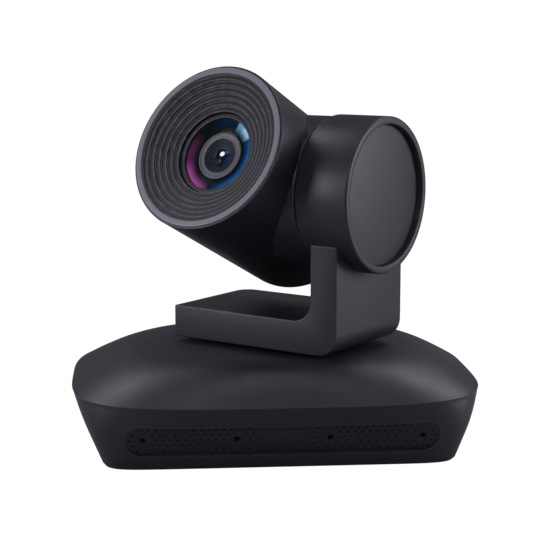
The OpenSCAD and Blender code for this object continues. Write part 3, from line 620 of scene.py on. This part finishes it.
PAINTED_EDGE_COLOUR = (0.09, 0.088, 0.11)       # painted highlight colour along the edges of the main plastic
FINISHES = {
    "charcoal_shell": lambda f: moulded("shell_plastic", f.shell, f.shell_roughness, f.grain, edge_highlight=0.8,
                                        edge=PAINTED_EDGE_COLOUR),
    # the base's dome gets the painted highlight on faces that look up
    "domed_shell": lambda f: moulded("base_plastic", f.shell, f.shell_roughness, f.grain, edge_highlight=0.6, edge=PAINTED_EDGE_COLOUR,
                                     top_highlight=f.shell_top_highlight),
    "dark_shell": lambda f: moulded("dark_plastic", f.dark, 0.5, f.grain),
    "black_moulding": lambda f: moulded("satin_black", (0.010, 0.010, 0.012), 0.42, 0.00002),
    "hood_grey": lambda f: moulded("hood_plastic", f.hood, 0.42, 0.00002, edge_highlight=0.25),
    # the step noses get a pale painted highlight along their edges
    "baffle_black": lambda f: moulded("baffle_plastic", f.baffle, 0.5, 0.00001, edge_highlight=1.0, edge=(0.30, 0.30, 0.34)),
    "trim_grey": lambda f: moulded("trim_plastic", (0.225, 0.208, 0.178), 0.4, 0.00001, edge_highlight=0.2),
    "rubber": lambda f: moulded("soft_rubber", (0.018, 0.018, 0.018), 0.8, 0.00006, 1400.0, 0.3, 0.1),
    "gear_nylon": lambda f: moulded("natural_nylon", (0.72, 0.69, 0.60), 0.5, 0.00002, edge_highlight=0.1),
    "circuit_board": lambda f: circuit_board("solder_mask"),
    "dark_glass": lambda f: gloss_black("infrared_window"),
    "lens_glass": lambda f: clear_glass("front_glass"),
    "brass": lambda f: metal("turned_brass", (0.62, 0.45, 0.19), 0.28),
    "bright_steel": lambda f: metal("plated_steel", (0.58, 0.58, 0.60), 0.27),
    "aluminium": lambda f: metal("brushed_aluminium", (0.62, 0.63, 0.65), 0.4, 1400.0),
}


def finish_of(slot):
    return FINISHES[slot](bpy.context.scene.ptz_finish)


# ---- Geometry Nodes ----
def geometry_tree(name, inputs):
    tree = bpy.data.node_groups.new(name, "GeometryNodeTree")
    i, o = add_sockets(tree, [("Geometry", "g"), *inputs], [("Geometry", "g")])
    return tree, i, o


def end_tree(tree, o, geometry, material):
    """Realize Instances and Set Material, which end every tree"""
    real = result(tree, "GeometryNodeRealizeInstances", Geometry=geometry)
    plug(tree, result(tree, "GeometryNodeSetMaterial", Geometry=real, Material=material), o[0])
    return tree


def run_tree(name, tree_name, build, places, values, bores=None):
    """New object with what a tree, built the first time, makes of loose points and the bore of each"""
    mesh = bpy.data.meshes.new(name)
    mesh.from_pydata([Vector(p) for p in places], [], [])
    if bores:
        mesh.attributes.new("bore", "FLOAT", "POINT").data.foreach_set("value", bores)
    obj = bpy.data.objects.new(name, mesh)
    bpy.context.scene.collection.objects.link(obj)
    tree = bpy.data.node_groups.get(tree_name) or build(tree_name)
    ids = {s.name: s.identifier for s in tree.interface.items_tree if s.in_out == "INPUT"}
    m = obj.modifiers.new(tree_name, "NODES")
    m.node_group = tree
    for label, v in values.items():
        m[ids[label]] = v
    return baked(obj)


def together(tree, *parts):
    join = node(tree, "GeometryNodeJoinGeometry")
    for part in parts:
        tree.links.new(part, join.inputs[0])
    return join.outputs[0]


def welded(tree, geometry):
    return result(tree, "GeometryNodeMergeByDistance", Geometry=geometry, Distance=1e-7)


def thickened(tree, sheet, **push):
    """Closed solid between a sheet and a pushed-out copy of it"""
    pushed = result(tree, "GeometryNodeExtrudeMesh", {"mode": "FACES"}, Mesh=sheet, Individual=False, **push)
    return welded(tree, together(tree, pushed, result(tree, "GeometryNodeFlipFaces", Mesh=sheet)))


def lifted(tree, geometry, height):
    return result(tree, "GeometryNodeTransform", Geometry=geometry,
                  Translation=result(tree, "ShaderNodeCombineXYZ", Z=height))


def perforated_sheet_tree(name):
    """Slot-shaped sheet with a window and a round hole at every point"""
    tree, i, o = geometry_tree(name, [
        ("Width", "f"), ("Height", "f"), ("Window width", "f"), ("Window height", "f"),
        ("Thickness", "f"), ("Hole sides", "i"), ("Material", "m")])
    rims = []
    for w, h in (("Width", "Height"), ("Window width", "Window height")):
        quad = result(tree, "GeometryNodeCurvePrimitiveQuadrilateral", Width=i[w], Height=i[h])
        rims.append(result(tree, "GeometryNodeFilletCurve", {"mode": "POLY"}, Curve=quad, Count=24,
                           Radius=maths(tree, "MULTIPLY", i[h], 0.4995)))
    circle = result(tree, "GeometryNodeCurvePrimitiveCircle", Resolution=i["Hole sides"], Radius=1.0)
    bore = result(tree, "GeometryNodeInputNamedAttribute", {"data_type": "FLOAT"}, Name="bore")
    scale = result(tree, "ShaderNodeCombineXYZ", X=bore, Y=bore, Z=bore)
    holes = result(tree, "GeometryNodeInstanceOnPoints", Points=i["Geometry"], Instance=circle, Scale=scale)
    holes = result(tree, "GeometryNodeRealizeInstances", Geometry=holes)
    sheet = result(tree, "GeometryNodeFillCurve", _0=together(tree, holes, *rims))
    return end_tree(tree, o, thickened(tree, sheet, Offset_Scale=i["Thickness"]), i["Material"])


def stepped_baffle_tree(name):
    """Rings of steps that fall towards the lens, each nose with a small chamfer"""
    tree, i, o = geometry_tree(name, [
        ("Steps", "i"), ("Outer radius", "f"), ("Inner radius", "f"), ("Top", "f"), ("Fall", "f"),
        ("Chamfer", "f"), ("Thickness", "f"), ("Sides", "i"), ("Material", "m")])
    add, sub, mul, div = sums(tree)
    steps, outer, chamfer = i["Steps"], i["Outer radius"], i["Chamfer"]
    grid = result(tree, "GeometryNodeMeshGrid", Vertices_X=add(i["Sides"], 1), Vertices_Y=add(mul(steps, 3), 1),
                  Size_X=1.0, Size_Y=1.0)
    spot = node(tree, "ShaderNodeSeparateXYZ", _0=result(tree, "GeometryNodeInputPosition")).outputs
    turn = mul(add(spot["X"], 0.5), math.tau)
    row = maths(tree, "ROUND", mul(add(spot["Y"], 0.5), mul(steps, 3)))
    whole = maths(tree, "FLOOR", div(add(row, 0.01), 3))
    part = sub(row, mul(whole, 3))
    past = maths(tree, "GREATER_THAN", part, 0.5)
    nose = maths(tree, "GREATER_THAN", part, 1.5)
    width = div(sub(outer, i["Inner radius"]), steps)
    radius = add(sub(outer, mul(width, add(whole, past))), mul(sub(past, nose), chamfer))
    height = sub(sub(i["Top"], mul(whole, i["Fall"])), mul(nose, chamfer))
    place = result(tree, "ShaderNodeCombineXYZ", X=mul(radius, maths(tree, "COSINE", turn)),
                   Y=mul(radius, maths(tree, "SINE", turn)), Z=height)
    sheet = welded(tree, result(tree, "GeometryNodeSetPosition", Geometry=grid, Position=place))
    down = result(tree, "ShaderNodeCombineXYZ", Z=mul(i["Thickness"], -1))
    return end_tree(tree, o, thickened(tree, sheet, Offset=down, Offset_Scale=1.0), i["Material"])


def screw_tree(name):
    """Cross-head screws: one at every point, head below z = 0 and shank above"""
    tree, i, o = geometry_tree(name, [
        ("Head radius", "f"), ("Head height", "f"), ("Shank radius", "f"), ("Shank length", "f"), ("Material", "m")])
    _, sub, mul, _ = sums(tree)
    radius, height = i["Head radius"], i["Head height"]
    low = mul(height, -1)
    cone = result(tree, "GeometryNodeMeshCone", Vertices=32, Depth=height, Radius_Bottom=mul(radius, 0.82),
                  Radius_Top=radius)
    arms = []
    for a, b in ((1.1, 0.26), (0.26, 1.1)):
        size = result(tree, "ShaderNodeCombineXYZ", X=mul(radius, a), Y=mul(radius, b), Z=mul(height, 1.1))
        arms.append(lifted(tree, result(tree, "GeometryNodeMeshCube", Size=size), low))
    head = result(tree, "GeometryNodeMeshBoolean", {"operation": "DIFFERENCE"}, Mesh_1=lifted(tree, cone, low),
                  Mesh_2=together(tree, *arms))
    rod = result(tree, "GeometryNodeMeshCylinder", Vertices=24, Radius=i["Shank radius"], Depth=i["Shank length"])
    shank = lifted(tree, rod, sub(mul(i["Shank length"], 0.5), 0.00002))
    screws = result(tree, "GeometryNodeInstanceOnPoints", Points=i["Geometry"],
                    Instance=together(tree, head, shank))
    return end_tree(tree, o, screws, i["Material"])


# ---- operators ----
class PTZ_OT_base_casing(bpy.types.Operator):
    """Flared base with its domed top, cut for the microphone bar and the rear sockets"""
    bl_idname = "ptz.base_casing"
    bl_label = "Base casing"

    def execute(self, context):
        c = context.scene.ptz_casing
        sides = c.sides
        hw, hd, flare, wall = c.width / 2 / MM, c.depth / 2 / MM, c.flare / MM, c.wall / MM
        rim, top, lift = c.rim_height / MM, c.top_height / MM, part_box("base_shell")[0].z / MM
        knee = lift + 1.5
        run = rim - 1 - knee
        centre = Vector((0, PAN_AT.y / MM))

        def ring(inset, square, z, weight, radius):
            made = []
            for i in range(sides):
                t = math.tau * (i + 0.5) / sides
                a, b = hw - inset, hd - inset
                n = square * c.back_round if math.sin(t) > 0 else square
                p = Vector((a * math.copysign(abs(math.cos(t)) ** (2 / n), math.cos(t)),
                            b * math.copysign(abs(math.sin(t)) ** (2 / n), math.sin(t))))
                away = p - centre
                made.append((1 - weight) * p + weight * (centre + away * (radius / away.length)))
            return [Vector((p.x, p.y, z)) for p in made]

        def levels(d):
            h, r = top - rim, c.plateau / MM - d * 0.6
            wall_rows = [(flare + 0.9 + d, 12, lift), (flare + d, 13, knee), (flare * 0.5 + d, 7, knee + run * 0.5),
                         (flare * 0.22 + d, 5, knee + run * 0.78), (0.5 + d, 4, rim - 1)]
            dome_rows = [(d, 3.9, rim - d * 0.25, 0), (0.6 + d, 3.8, rim + 0.8 - d * 0.5, 0),
                         (d, 3.7, rim + h * 0.38 - d * 0.8, 0.21), (d, 3.6, rim + h * 0.68 - d * 0.92, 0.42),
                         (d, 3.5, rim + h * 0.88 - d, 0.63), (d, 3.4, rim + h * 0.97 - d, 0.87), (d, 3.4, top - d, 1)]
            return ([ring(g, n, z, 0, r) for g, n, z in wall_rows], [ring(g, n, z, w, r) for g, n, z, w in dome_rows])

        def smooth(rows, pieces):
            """Rows in between, on a curve through each point"""
            made = []
            for k in range(len(rows) - 1):
                p0, p1, p2 = rows[max(k - 1, 0)], rows[k], rows[k + 1]
                p3 = rows[min(k + 2, len(rows) - 1)]
                for s in range(pieces):
                    t = s / pieces
                    made.append([(q1 * 2 + (q2 - q0) * t + (q0 * 2 - q1 * 5 + q2 * 4 - q3) * t * t
                                  + (q1 * 3 - q0 - q2 * 3 + q3) * t ** 3) / 2
                                 for q0, q1, q2, q3 in zip(p0, p1, p2, p3)])
            return made + [rows[-1]]

        outer_wall, outer_dome = levels(0)
        inner_wall, inner_dome = levels(wall)
        neck = c.neck / MM
        outer = [outer_wall[0]] + smooth(outer_wall[1:], 4) + [outer_dome[0]] + smooth(outer_dome[1:], 7)
        inner = smooth(inner_wall, 2) + [inner_dome[0]] + smooth(inner_dome[1:], 3)

        def disc(z, start, count):
            spans = [start + (neck - start) * k / count for k in range(1, count + 1)]
            edge = outer_dome[-1] if z == top else inner_dome[-1]
            return [[Vector((centre.x + (p.x - centre.x) * s / start, centre.y + (p.y - centre.y) * s / start, z))
                     for p in edge] for s in spans]
        rows = outer + disc(top, c.plateau / MM, 6)
        rows += disc(top - wall, c.plateau / MM - wall * 0.6, 3)[::-1] + inner[::-1]
        verts = [p for r in rows for p in r]
        faces = []
        for k in range(len(rows)):
            m = (k + 1) % len(rows)
            for i in range(sides):
                j = (i + 1) % sides
                faces.append((k * sides + i, k * sides + j, m * sides + j, m * sides + i))
        casing = new_object("base_casing", verts, faces)
        b = context.scene.ptz_bar
        slot = slot_outline(2 * b.half / MM, b.height / MM)
        joined(casing, prism("slot_cut", slot, -7, 8, at_bar()))
        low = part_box("port_panel")[0].z / MM
        joined(casing, block("rear_cut", (-51, 40, low + 2), (51, 90, low + 22), Matrix()))
        finished(casing, "base", "charcoal_shell", "base_shell", angle=24, material=finish_of("domed_shell"))
        return {"FINISHED"}


def at_bar():
    """Frame on the front wall: x along the bar, y up the wall, z out of it"""
    c, b = bpy.context.scene.ptz_casing, bpy.context.scene.ptz_bar
    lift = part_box("base_shell")[0].z
    lean = math.atan((c.flare - MM) / (c.rim_height - MM - lift - 1.5 * MM))
    y = -(c.depth / 2 - c.flare + 0.5 * MM + (b.middle - lift - 1.5 * MM) * math.tan(lean))
    return Matrix.Translation((0, y, b.middle)) @ Matrix.Rotation(math.pi / 2 + lean, 4, "X")


class PTZ_OT_microphone_bar(bpy.types.Operator):
    """Perforated sheet with its backing and the infrared window"""
    bl_idname = "ptz.microphone_bar"
    bl_label = "Microphone bar"

    def execute(self, context):
        b = context.scene.ptz_bar
        pitch = b.spacing / 12.44
        places, bores = [], []
        for side in (-1, 1):
            for m in (0.5, 1.5):
                places.append((side * m * b.spacing, 0, 0))
                bores.append(b.mic_bore)
            for r in range(-2, 3):
                start, y = 0.72 + 0.5 * (2 - abs(r)), r * pitch * 0.866
                xs = [b.spacing / 2 + (start + k) * pitch for k in range(10 + abs(r))]
                xs += [b.spacing * 1.5 + start * pitch]
                xs += [b.spacing / 2 - (start + k) * pitch for k in (0, 1)]
                places += [(side * x, y, 0) for x in xs]
                bores += [b.bore] * len(xs)
        shared = ("perforated_sheet", perforated_sheet_tree)
        material = finish_of("dark_shell")
        sheet = run_tree("microphone_grille", *shared, places, {
            "Width": 2 * b.half - 0.5 * MM, "Height": b.height - 0.5 * MM, "Window width": b.window_width,
            "Window height": b.window_height, "Thickness": 0.5 * MM, "Hole sides": 16, "Material": material},
            bores)
        mics = [(p, w) for p, w in zip(places, bores) if w == b.mic_bore]
        backing = run_tree("grille_backing", *shared, [p for p, w in mics], {
            "Width": 2 * b.half - 3.4 * MM, "Height": b.height - 3.4 * MM, "Window width": 7.5 * MM,
            "Window height": 6 * MM, "Thickness": 1.69 * MM, "Hole sides": 32, "Material": material},
            [w for p, w in mics])
        placed(sheet, at_bar() @ Matrix.Translation((0, 0, -b.recess)))
        placed(backing, at_bar() @ Matrix.Translation((0, 0, -b.recess - 2 * MM)))
        finished(sheet, "base", "dark_shell", "mic_grille")
        finished(backing, "base", "dark_shell")
        window = prism("infrared_window", slot_outline((b.window_width / MM) - 0.2, (b.window_height / MM) - 0.2),
                       0, 0.7, at_bar() @ Matrix.Translation((0, 0, -b.recess - 0.3 * MM)))
        soft_edges(window, 0.12 * MM, 2)
        finished(window, "base", "dark_glass", "ir_window")
        return {"FINISHED"}


class PTZ_OT_yoke(bpy.types.Operator):
    """L-shaped bracket that carries the head"""
    bl_idname = "ptz.yoke"
    bl_label = "Yoke bracket"

    def execute(self, context):
        y = context.scene.ptz_yoke
        free, out, arm = y.free_end / MM, y.outer / MM, y.arm / MM
        low, plate, half = y.bottom / MM, y.plate / MM, y.depth / MM / 2
        high = TILT_AT.z / MM + 6
        outline = rounded([(-free, low), (out, low, 11), (out, high), (out - arm, high),
                           (out - arm, low + plate, 10), (-free, low + plate)], 14)
        side_on = AT_YOKE @ Matrix.Rotation(math.pi / 2, 4, "X")
        bracket = prism("yoke_arm", outline, -half, half, side_on)
        corner = AT_YOKE @ Vector((-free * MM, half * MM, (low + plate / 2) * MM))

        def round_corner(bm):
            edge = min(bm.edges, key=lambda e: ((e.verts[0].co + e.verts[1].co) / 2 - corner).length)
            bmesh.ops.bevel(bm, geom=[edge], offset=8 * MM, segments=12, profile=0.5, affect="EDGES")
        reworked(bracket, round_corner)
        soft_edges(bracket, y.edge, 4, 40)
        seat = turned("seat_cut", [(0, 0), (y.drum_radius / MM + 0.05, 0), (y.drum_radius / MM + 0.05, 90), (0, 90)],
                      AT_DRUM)
        joined(bracket, seat)
        room = block("room_cut", (-free + 4, -half + 3, low - 1), (out - arm - 4, half - 3, low + 12), AT_YOKE)
        joined(bracket, room)
        finished(bracket, "yoke", "charcoal_shell", "yoke_bracket")
        return {"FINISHED"}


class PTZ_OT_drum(bpy.types.Operator):
    """Round drum at the top of the arm, with its recessed cover"""
    bl_idname = "ptz.drum"
    bl_label = "Drum"

    def execute(self, context):
        y = context.scene.ptz_yoke
        r, inner, outer = y.drum_radius / MM, y.drum_inner / MM, y.drum_outer / MM
        face = outer - 3
        drum = turned("drum_casing", [(7.2, inner), (r, inner, 1.2), (r, outer, 1.3), (r - 3.9, outer, 0.7),
                                      (r - 3.9, face - 2.5), (r - 5.2, face - 2.5), (r - 5.2, inner + 2.5),
                                      (7.2, inner + 2.5)], AT_DRUM)
        finished(drum, "yoke", "charcoal_shell", "drum_housing")
        cover = turned("drum_disc", [(0, face - 2.5), (r - 4.05, face - 2.5), (r - 4.05, face, 0.5), (0, face)],
                       AT_DRUM)
        finished(cover, "yoke", "charcoal_shell", "drum_cover")
        return {"FINISHED"}


class PTZ_OT_head_casing(bpy.types.Operator):
    """Tube and hub of the head"""
    bl_idname = "ptz.head_casing"
    bl_label = "Head casing"

    def execute(self, context):
        h = context.scene.ptz_head
        r, front, back = h.radius / MM, h.front / MM, h.back / MM
        bore = r - 3
        tube = turned("head_casing", [(0, -back), (r - 0.4, -back, 2.5), (r, front, 0.5), (0, front)], at_lens())
        hub = turned("hub", [(0, 0), (h.hub_radius / MM, 0), (h.hub_radius / MM, h.hub_end / MM, 1.0),
                             (0, h.hub_end / MM)], AT_DRUM)
        joined(tube, hub, "UNION")
        inside = turned("bore_cut", [(0, -back - 1), (bore, -back - 1), (bore, front - 4.5), (r - 1.05, front - 4.5),
                                     (r - 1.05, front + 1), (0, front + 1)], at_lens())
        joined(tube, inside)
        finished(tube, "head", "charcoal_shell", "head_shell", angle=28)
        return {"FINISHED"}


class PTZ_OT_hood(bpy.types.Operator):
    """Light ring round the hood and the steps inside it"""
    bl_idname = "ptz.hood"
    bl_label = "Hood ring and steps"

    def execute(self, context):
        h = context.scene.ptz_head
        r, front = h.radius / MM, h.front / MM
        ring = turned("hood_trim", [(r - 4.1, front - 4.5), (r - 1.15, front - 4.5), (r - 1.15, front + 0.7, 0.35),
                                    (r - 4.1, front + 0.7, 0.35)], at_lens(), 256)
        finished(ring, "head", "hood_grey", "hood_ring")
        steps = run_tree("hood_steps", "stepped_baffle", stepped_baffle_tree, [(0, 0, 0)], {
            "Steps": h.steps, "Outer radius": (r - 4.2) * MM, "Inner radius": h.glass + 2.6 * MM,
            "Top": (front - 0.9) * MM, "Fall": h.step_fall, "Chamfer": 0.24 * MM, "Thickness": 2.6 * MM,
            "Sides": 256, "Material": finish_of("baffle_black")})
        tidy_mesh(placed(steps, at_lens()))
        finished(steps, "head", "baffle_black", "step_baffle", angle=20)
        return {"FINISHED"}


class PTZ_OT_lens(bpy.types.Operator):
    """Front glass in its retainer, the elements behind it with painted reflections and a painted glint, and the inner
    ring
    """
    bl_idname = "ptz.lens"
    bl_label = "Lens"

    def execute(self, context):
        h = context.scene.ptz_head
        g, low, seat = h.glass / MM, h.glass_level / MM, h.seat_level / MM
        top = h.front / MM - 0.9 - h.steps * h.step_fall / MM - 0.4
        lens = at_lens()
        finished(turned("lens_collar", [(g, seat), (g + 2.3, seat), (g + 2.3, top, 0.5), (g, top, 0.6)], lens),
                 "head", "baffle_black", "lens_retainer")

        def cap(radius, base, rise, pieces=16):
            ball = (radius * radius + rise * rise) / (2 * rise)
            return [(radius * (1 - k / pieces), base + math.sqrt(ball ** 2 - (radius * (1 - k / pieces)) ** 2)
                     - (ball - rise)) for k in range(pieces + 1)]
        front = turned("front_glass", [(0, seat + 0.1), (g - 0.1, seat + 0.1)] + cap(g - 0.1, seat + 0.2, 2.6), lens)
        finished(front, "head", "lens_glass", "front_lens")
        # the bowl behind the front glass carries the painted reflections, which glow
        bowl = turned("painted_reflection_bowl", [(12.45, low - 3), (12.45, seat - 0.95, 0.2), (g - 0.15, seat - 0.3, 0.3),
                                      (g + 1.1, seat - 0.3), (g + 1.1, low - 0.4), (13.6, low - 3)], lens)
        finished(bowl, "head", "lens_glass", material=painted_reflections("lens_painted_reflections", 13 * MM, 19.6 * MM))
        trim = turned("inner_trim", [(9.1, low - 6), (12.35, low - 6), (12.35, seat - 0.5, 0.4),
                                     (11.6, seat - 0.5, 0.2), (11.4, seat - 0.9, 0.1), (9.9, seat - 1.1, 0.1),
                                     (9.7, seat - 0.8, 0.1), (9.1, seat - 0.8, 0.2)], lens)
        finished(trim, "head", "trim_grey", "inner_ring")
        cone = [(9.05, seat - 1.2)]
        for k in range(5):
            cone += [(8.8 - 0.9 * k, seat - 1.3 - 0.3 * k, 0.08), (8.8 - 0.9 * k, seat - 1.6 - 0.3 * k)]
        cone += [(4.3, seat - 3.2), (9.05, low - 2.4)]
        finished(turned("inner_steps", cone, lens), "head", "baffle_black", material=finish_of("black_moulding"))
        inner = turned("inner_glass", [(0, low - 8), (12.3, low - 8), (12.3, low - 6.1), (4.8, low - 2.6)]
                       + cap(4.6, seat - 3.3, 1.3), lens)
        # the inner lens carries faint painted reflections and a painted glint, which glow
        finished(inner, "head", "lens_glass", "inner_lens",
                 material=painted_reflections("inner_painted_reflections", 1.2 * MM, 4.6 * MM, vivid=0.12, glint=1.6 * MM))
        return {"FINISHED"}


class PTZ_OT_screws(bpy.types.Operator):
    """The screws that show: under the base and in the rear of the head"""
    bl_idname = "ptz.screws"
    bl_label = "Screws"

    def execute(self, context):
        h = context.scene.ptz_head
        bore = h.radius / MM - 6.8
        rear = [(bore * math.cos(a), bore * math.sin(a), -h.back / MM)
                for a in (math.radians(45 + 90 * k) for k in range(4))]
        low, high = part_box("base_screws")
        x, y = (high.x - 2.9 * MM) / MM, (high.y - 2.9 * MM) / MM
        under = [(sx * x, sy * y, low.z / MM + 1.4) for sx in (-1, 1) for sy in (-1, 1)]
        sets = (("rear_screws", "head", "head_screws", rear, at_lens(), (2.2, 1.2, 1.1, 7.8)),
                ("underside_screws", "base", "base_screws", under, Matrix(), (2.9, 1.4, 1.25, 10)))
        for name, body, cad, places, matrix, (head_r, head_h, shank_r, shank_l) in sets:
            made = run_tree(name, "screw_set", screw_tree, [Vector(p) * MM for p in places], {
                "Head radius": head_r * MM, "Head height": head_h * MM, "Shank radius": shank_r * MM,
                "Shank length": shank_l * MM, "Material": finish_of("bright_steel")})
            finished(placed(made, matrix), body, "bright_steel", cad)
        return {"FINISHED"}


class PTZ_OT_carried_parts(bpy.types.Operator):
    """Finishes of the frame's own pieces that stay as they are"""
    bl_idname = "ptz.carried_parts"
    bl_label = "Carried parts"

    def execute(self, context):
        for name, obj in sorted(frame["nodes"].items()):
            if obj.hide_render:
                continue
            material = finish_of(SLOT_OF[name])
            if not obj.material_slots:
                obj.data.materials.append(material)
            for s in obj.material_slots:
                s.material = material
        return {"FINISHED"}


class PTZ_OT_stage(bpy.types.Operator):
    """Floor, soft lights and camera"""
    bl_idname = "ptz.stage"
    bl_label = "Stage"

    def execute(self, context):
        s = context.scene.ptz_stage
        floor = new_object("floor", [(-40, -40, 0), (40, -40, 0), (40, 40, 0), (-40, 40, 0)], [(0, 1, 2, 3)], 1.0)
        mat, tree, shader, where = blank("floor_paint")
        fill(tree, shader, Roughness=0.9, Specular_IOR_Level=0.1,
             Base_Color=mixed(tree, noise(tree, where, 3.0, 2.0), [c * 0.99 for c in s.floor], s.floor))
        own = result(tree, "ShaderNodeEmission", Strength=1.16)
        seen = maths(tree, "MULTIPLY", node(tree, "ShaderNodeLightPath").outputs["Is Camera Ray"], s.glow)
        both = result(tree, "ShaderNodeMixShader", _0=seen, _1=shader.outputs[0], _2=own)
        fill(tree, tree.nodes["Material Output"], Surface=both)
        floor.data.materials.append(mat)
        world = bpy.data.worlds.new("studio")
        tree = emptied(world)
        lit = result(tree, "ShaderNodeBackground", Color=(0.87, 0.87, 1.0), Strength=s.sky)
        white = result(tree, "ShaderNodeBackground", Color=(1, 1, 1), Strength=1.0)
        seen = node(tree, "ShaderNodeLightPath").outputs["Is Camera Ray"]
        both = result(tree, "ShaderNodeMixShader", _0=seen, _1=lit, _2=white)
        node(tree, "ShaderNodeOutputWorld", Surface=both)
        context.scene.world = world
        for name, spot, size, power in (
                ("back_left_light", (-0.75, 0.75, 1.25), (0.55, 0.55), s.key),
                ("back_right_light", (0.85, 0.75, 1.25), (0.55, 0.55), s.key),
                ("top_light", (0.0, -0.35, 1.6), (0.8, 0.5), s.top),
                ("left_light", (-1.4, -0.25, 0.45), (0.4, 0.5), s.side * 0.85),
                ("right_light", (1.35, -0.1, 0.36), (0.5, 0.8), s.side * 1.12),
                ("front_light", (-0.35, -1.6, 1.0), (0.8, 0.5), s.front)):
            data = bpy.data.lights.new(name, "AREA")
            data.shape = "RECTANGLE"
            data.size, data.size_y = size
            data.energy = power
            data.color = (0.93, 0.92, 1.0)
            lamp = bpy.data.objects.new(name, data)
            context.scene.collection.objects.link(lamp)
            lamp.location = spot
            aim = Vector((0, 0, 0.09)) - Vector(spot)
            lamp.rotation_euler = aim.to_track_quat("-Z", "Y").to_euler()
        data = bpy.data.cameras.new("camera")
        data.lens, data.sensor_width = s.lens, 36.0
        data.clip_start, data.clip_end = 0.05, 50
        camera = bpy.data.objects.new("camera", data)
        context.scene.collection.objects.link(camera)
        back = Vector((-math.sin(s.azimuth) * math.cos(s.pitch), -math.cos(s.azimuth) * math.cos(s.pitch),
                       math.sin(s.pitch)))
        camera.location = Vector(s.target) + back * s.distance
        camera.rotation_euler = (-back).to_track_quat("-Z", "Y").to_euler()
        context.scene.camera = camera
        context.scene.view_settings.view_transform = "Standard"
        return {"FINISHED"}


class PTZ_PT_panel(bpy.types.Panel):
    """Lists what the camera is made of"""
    bl_idname = "PTZ_PT_panel"
    bl_label = "Conference camera"
    bl_space_type = "VIEW_3D"
    bl_region_type = "UI"
    bl_category = "Camera"

    def draw(self, context):
        for key in GROUPS:
            box = self.layout.box()
            settings = getattr(context.scene, key)
            for name in settings.__annotations__:
                box.prop(settings, name)
        for operator in OPERATORS:
            self.layout.operator(operator.bl_idname)


OPERATORS = (PTZ_OT_base_casing, PTZ_OT_microphone_bar, PTZ_OT_yoke, PTZ_OT_drum, PTZ_OT_head_casing,
             PTZ_OT_hood, PTZ_OT_lens, PTZ_OT_screws, PTZ_OT_carried_parts, PTZ_OT_stage)


def register():
    for cls in (*GROUPS.values(), *OPERATORS, PTZ_PT_panel):
        bpy.utils.register_class(cls)
    for key, cls in GROUPS.items():
        setattr(bpy.types.Scene, key, PointerProperty(type=cls))


def unregister():
    for key in GROUPS:
        delattr(bpy.types.Scene, key)
    for cls in (PTZ_PT_panel, *reversed(OPERATORS), *GROUPS.values()):
        bpy.utils.unregister_class(cls)


def main():
    register()
    for operator in OPERATORS:
        area, name = operator.bl_idname.split(".")
        getattr(getattr(bpy.ops, area), name)()


if __name__ == "__main__":
    main()
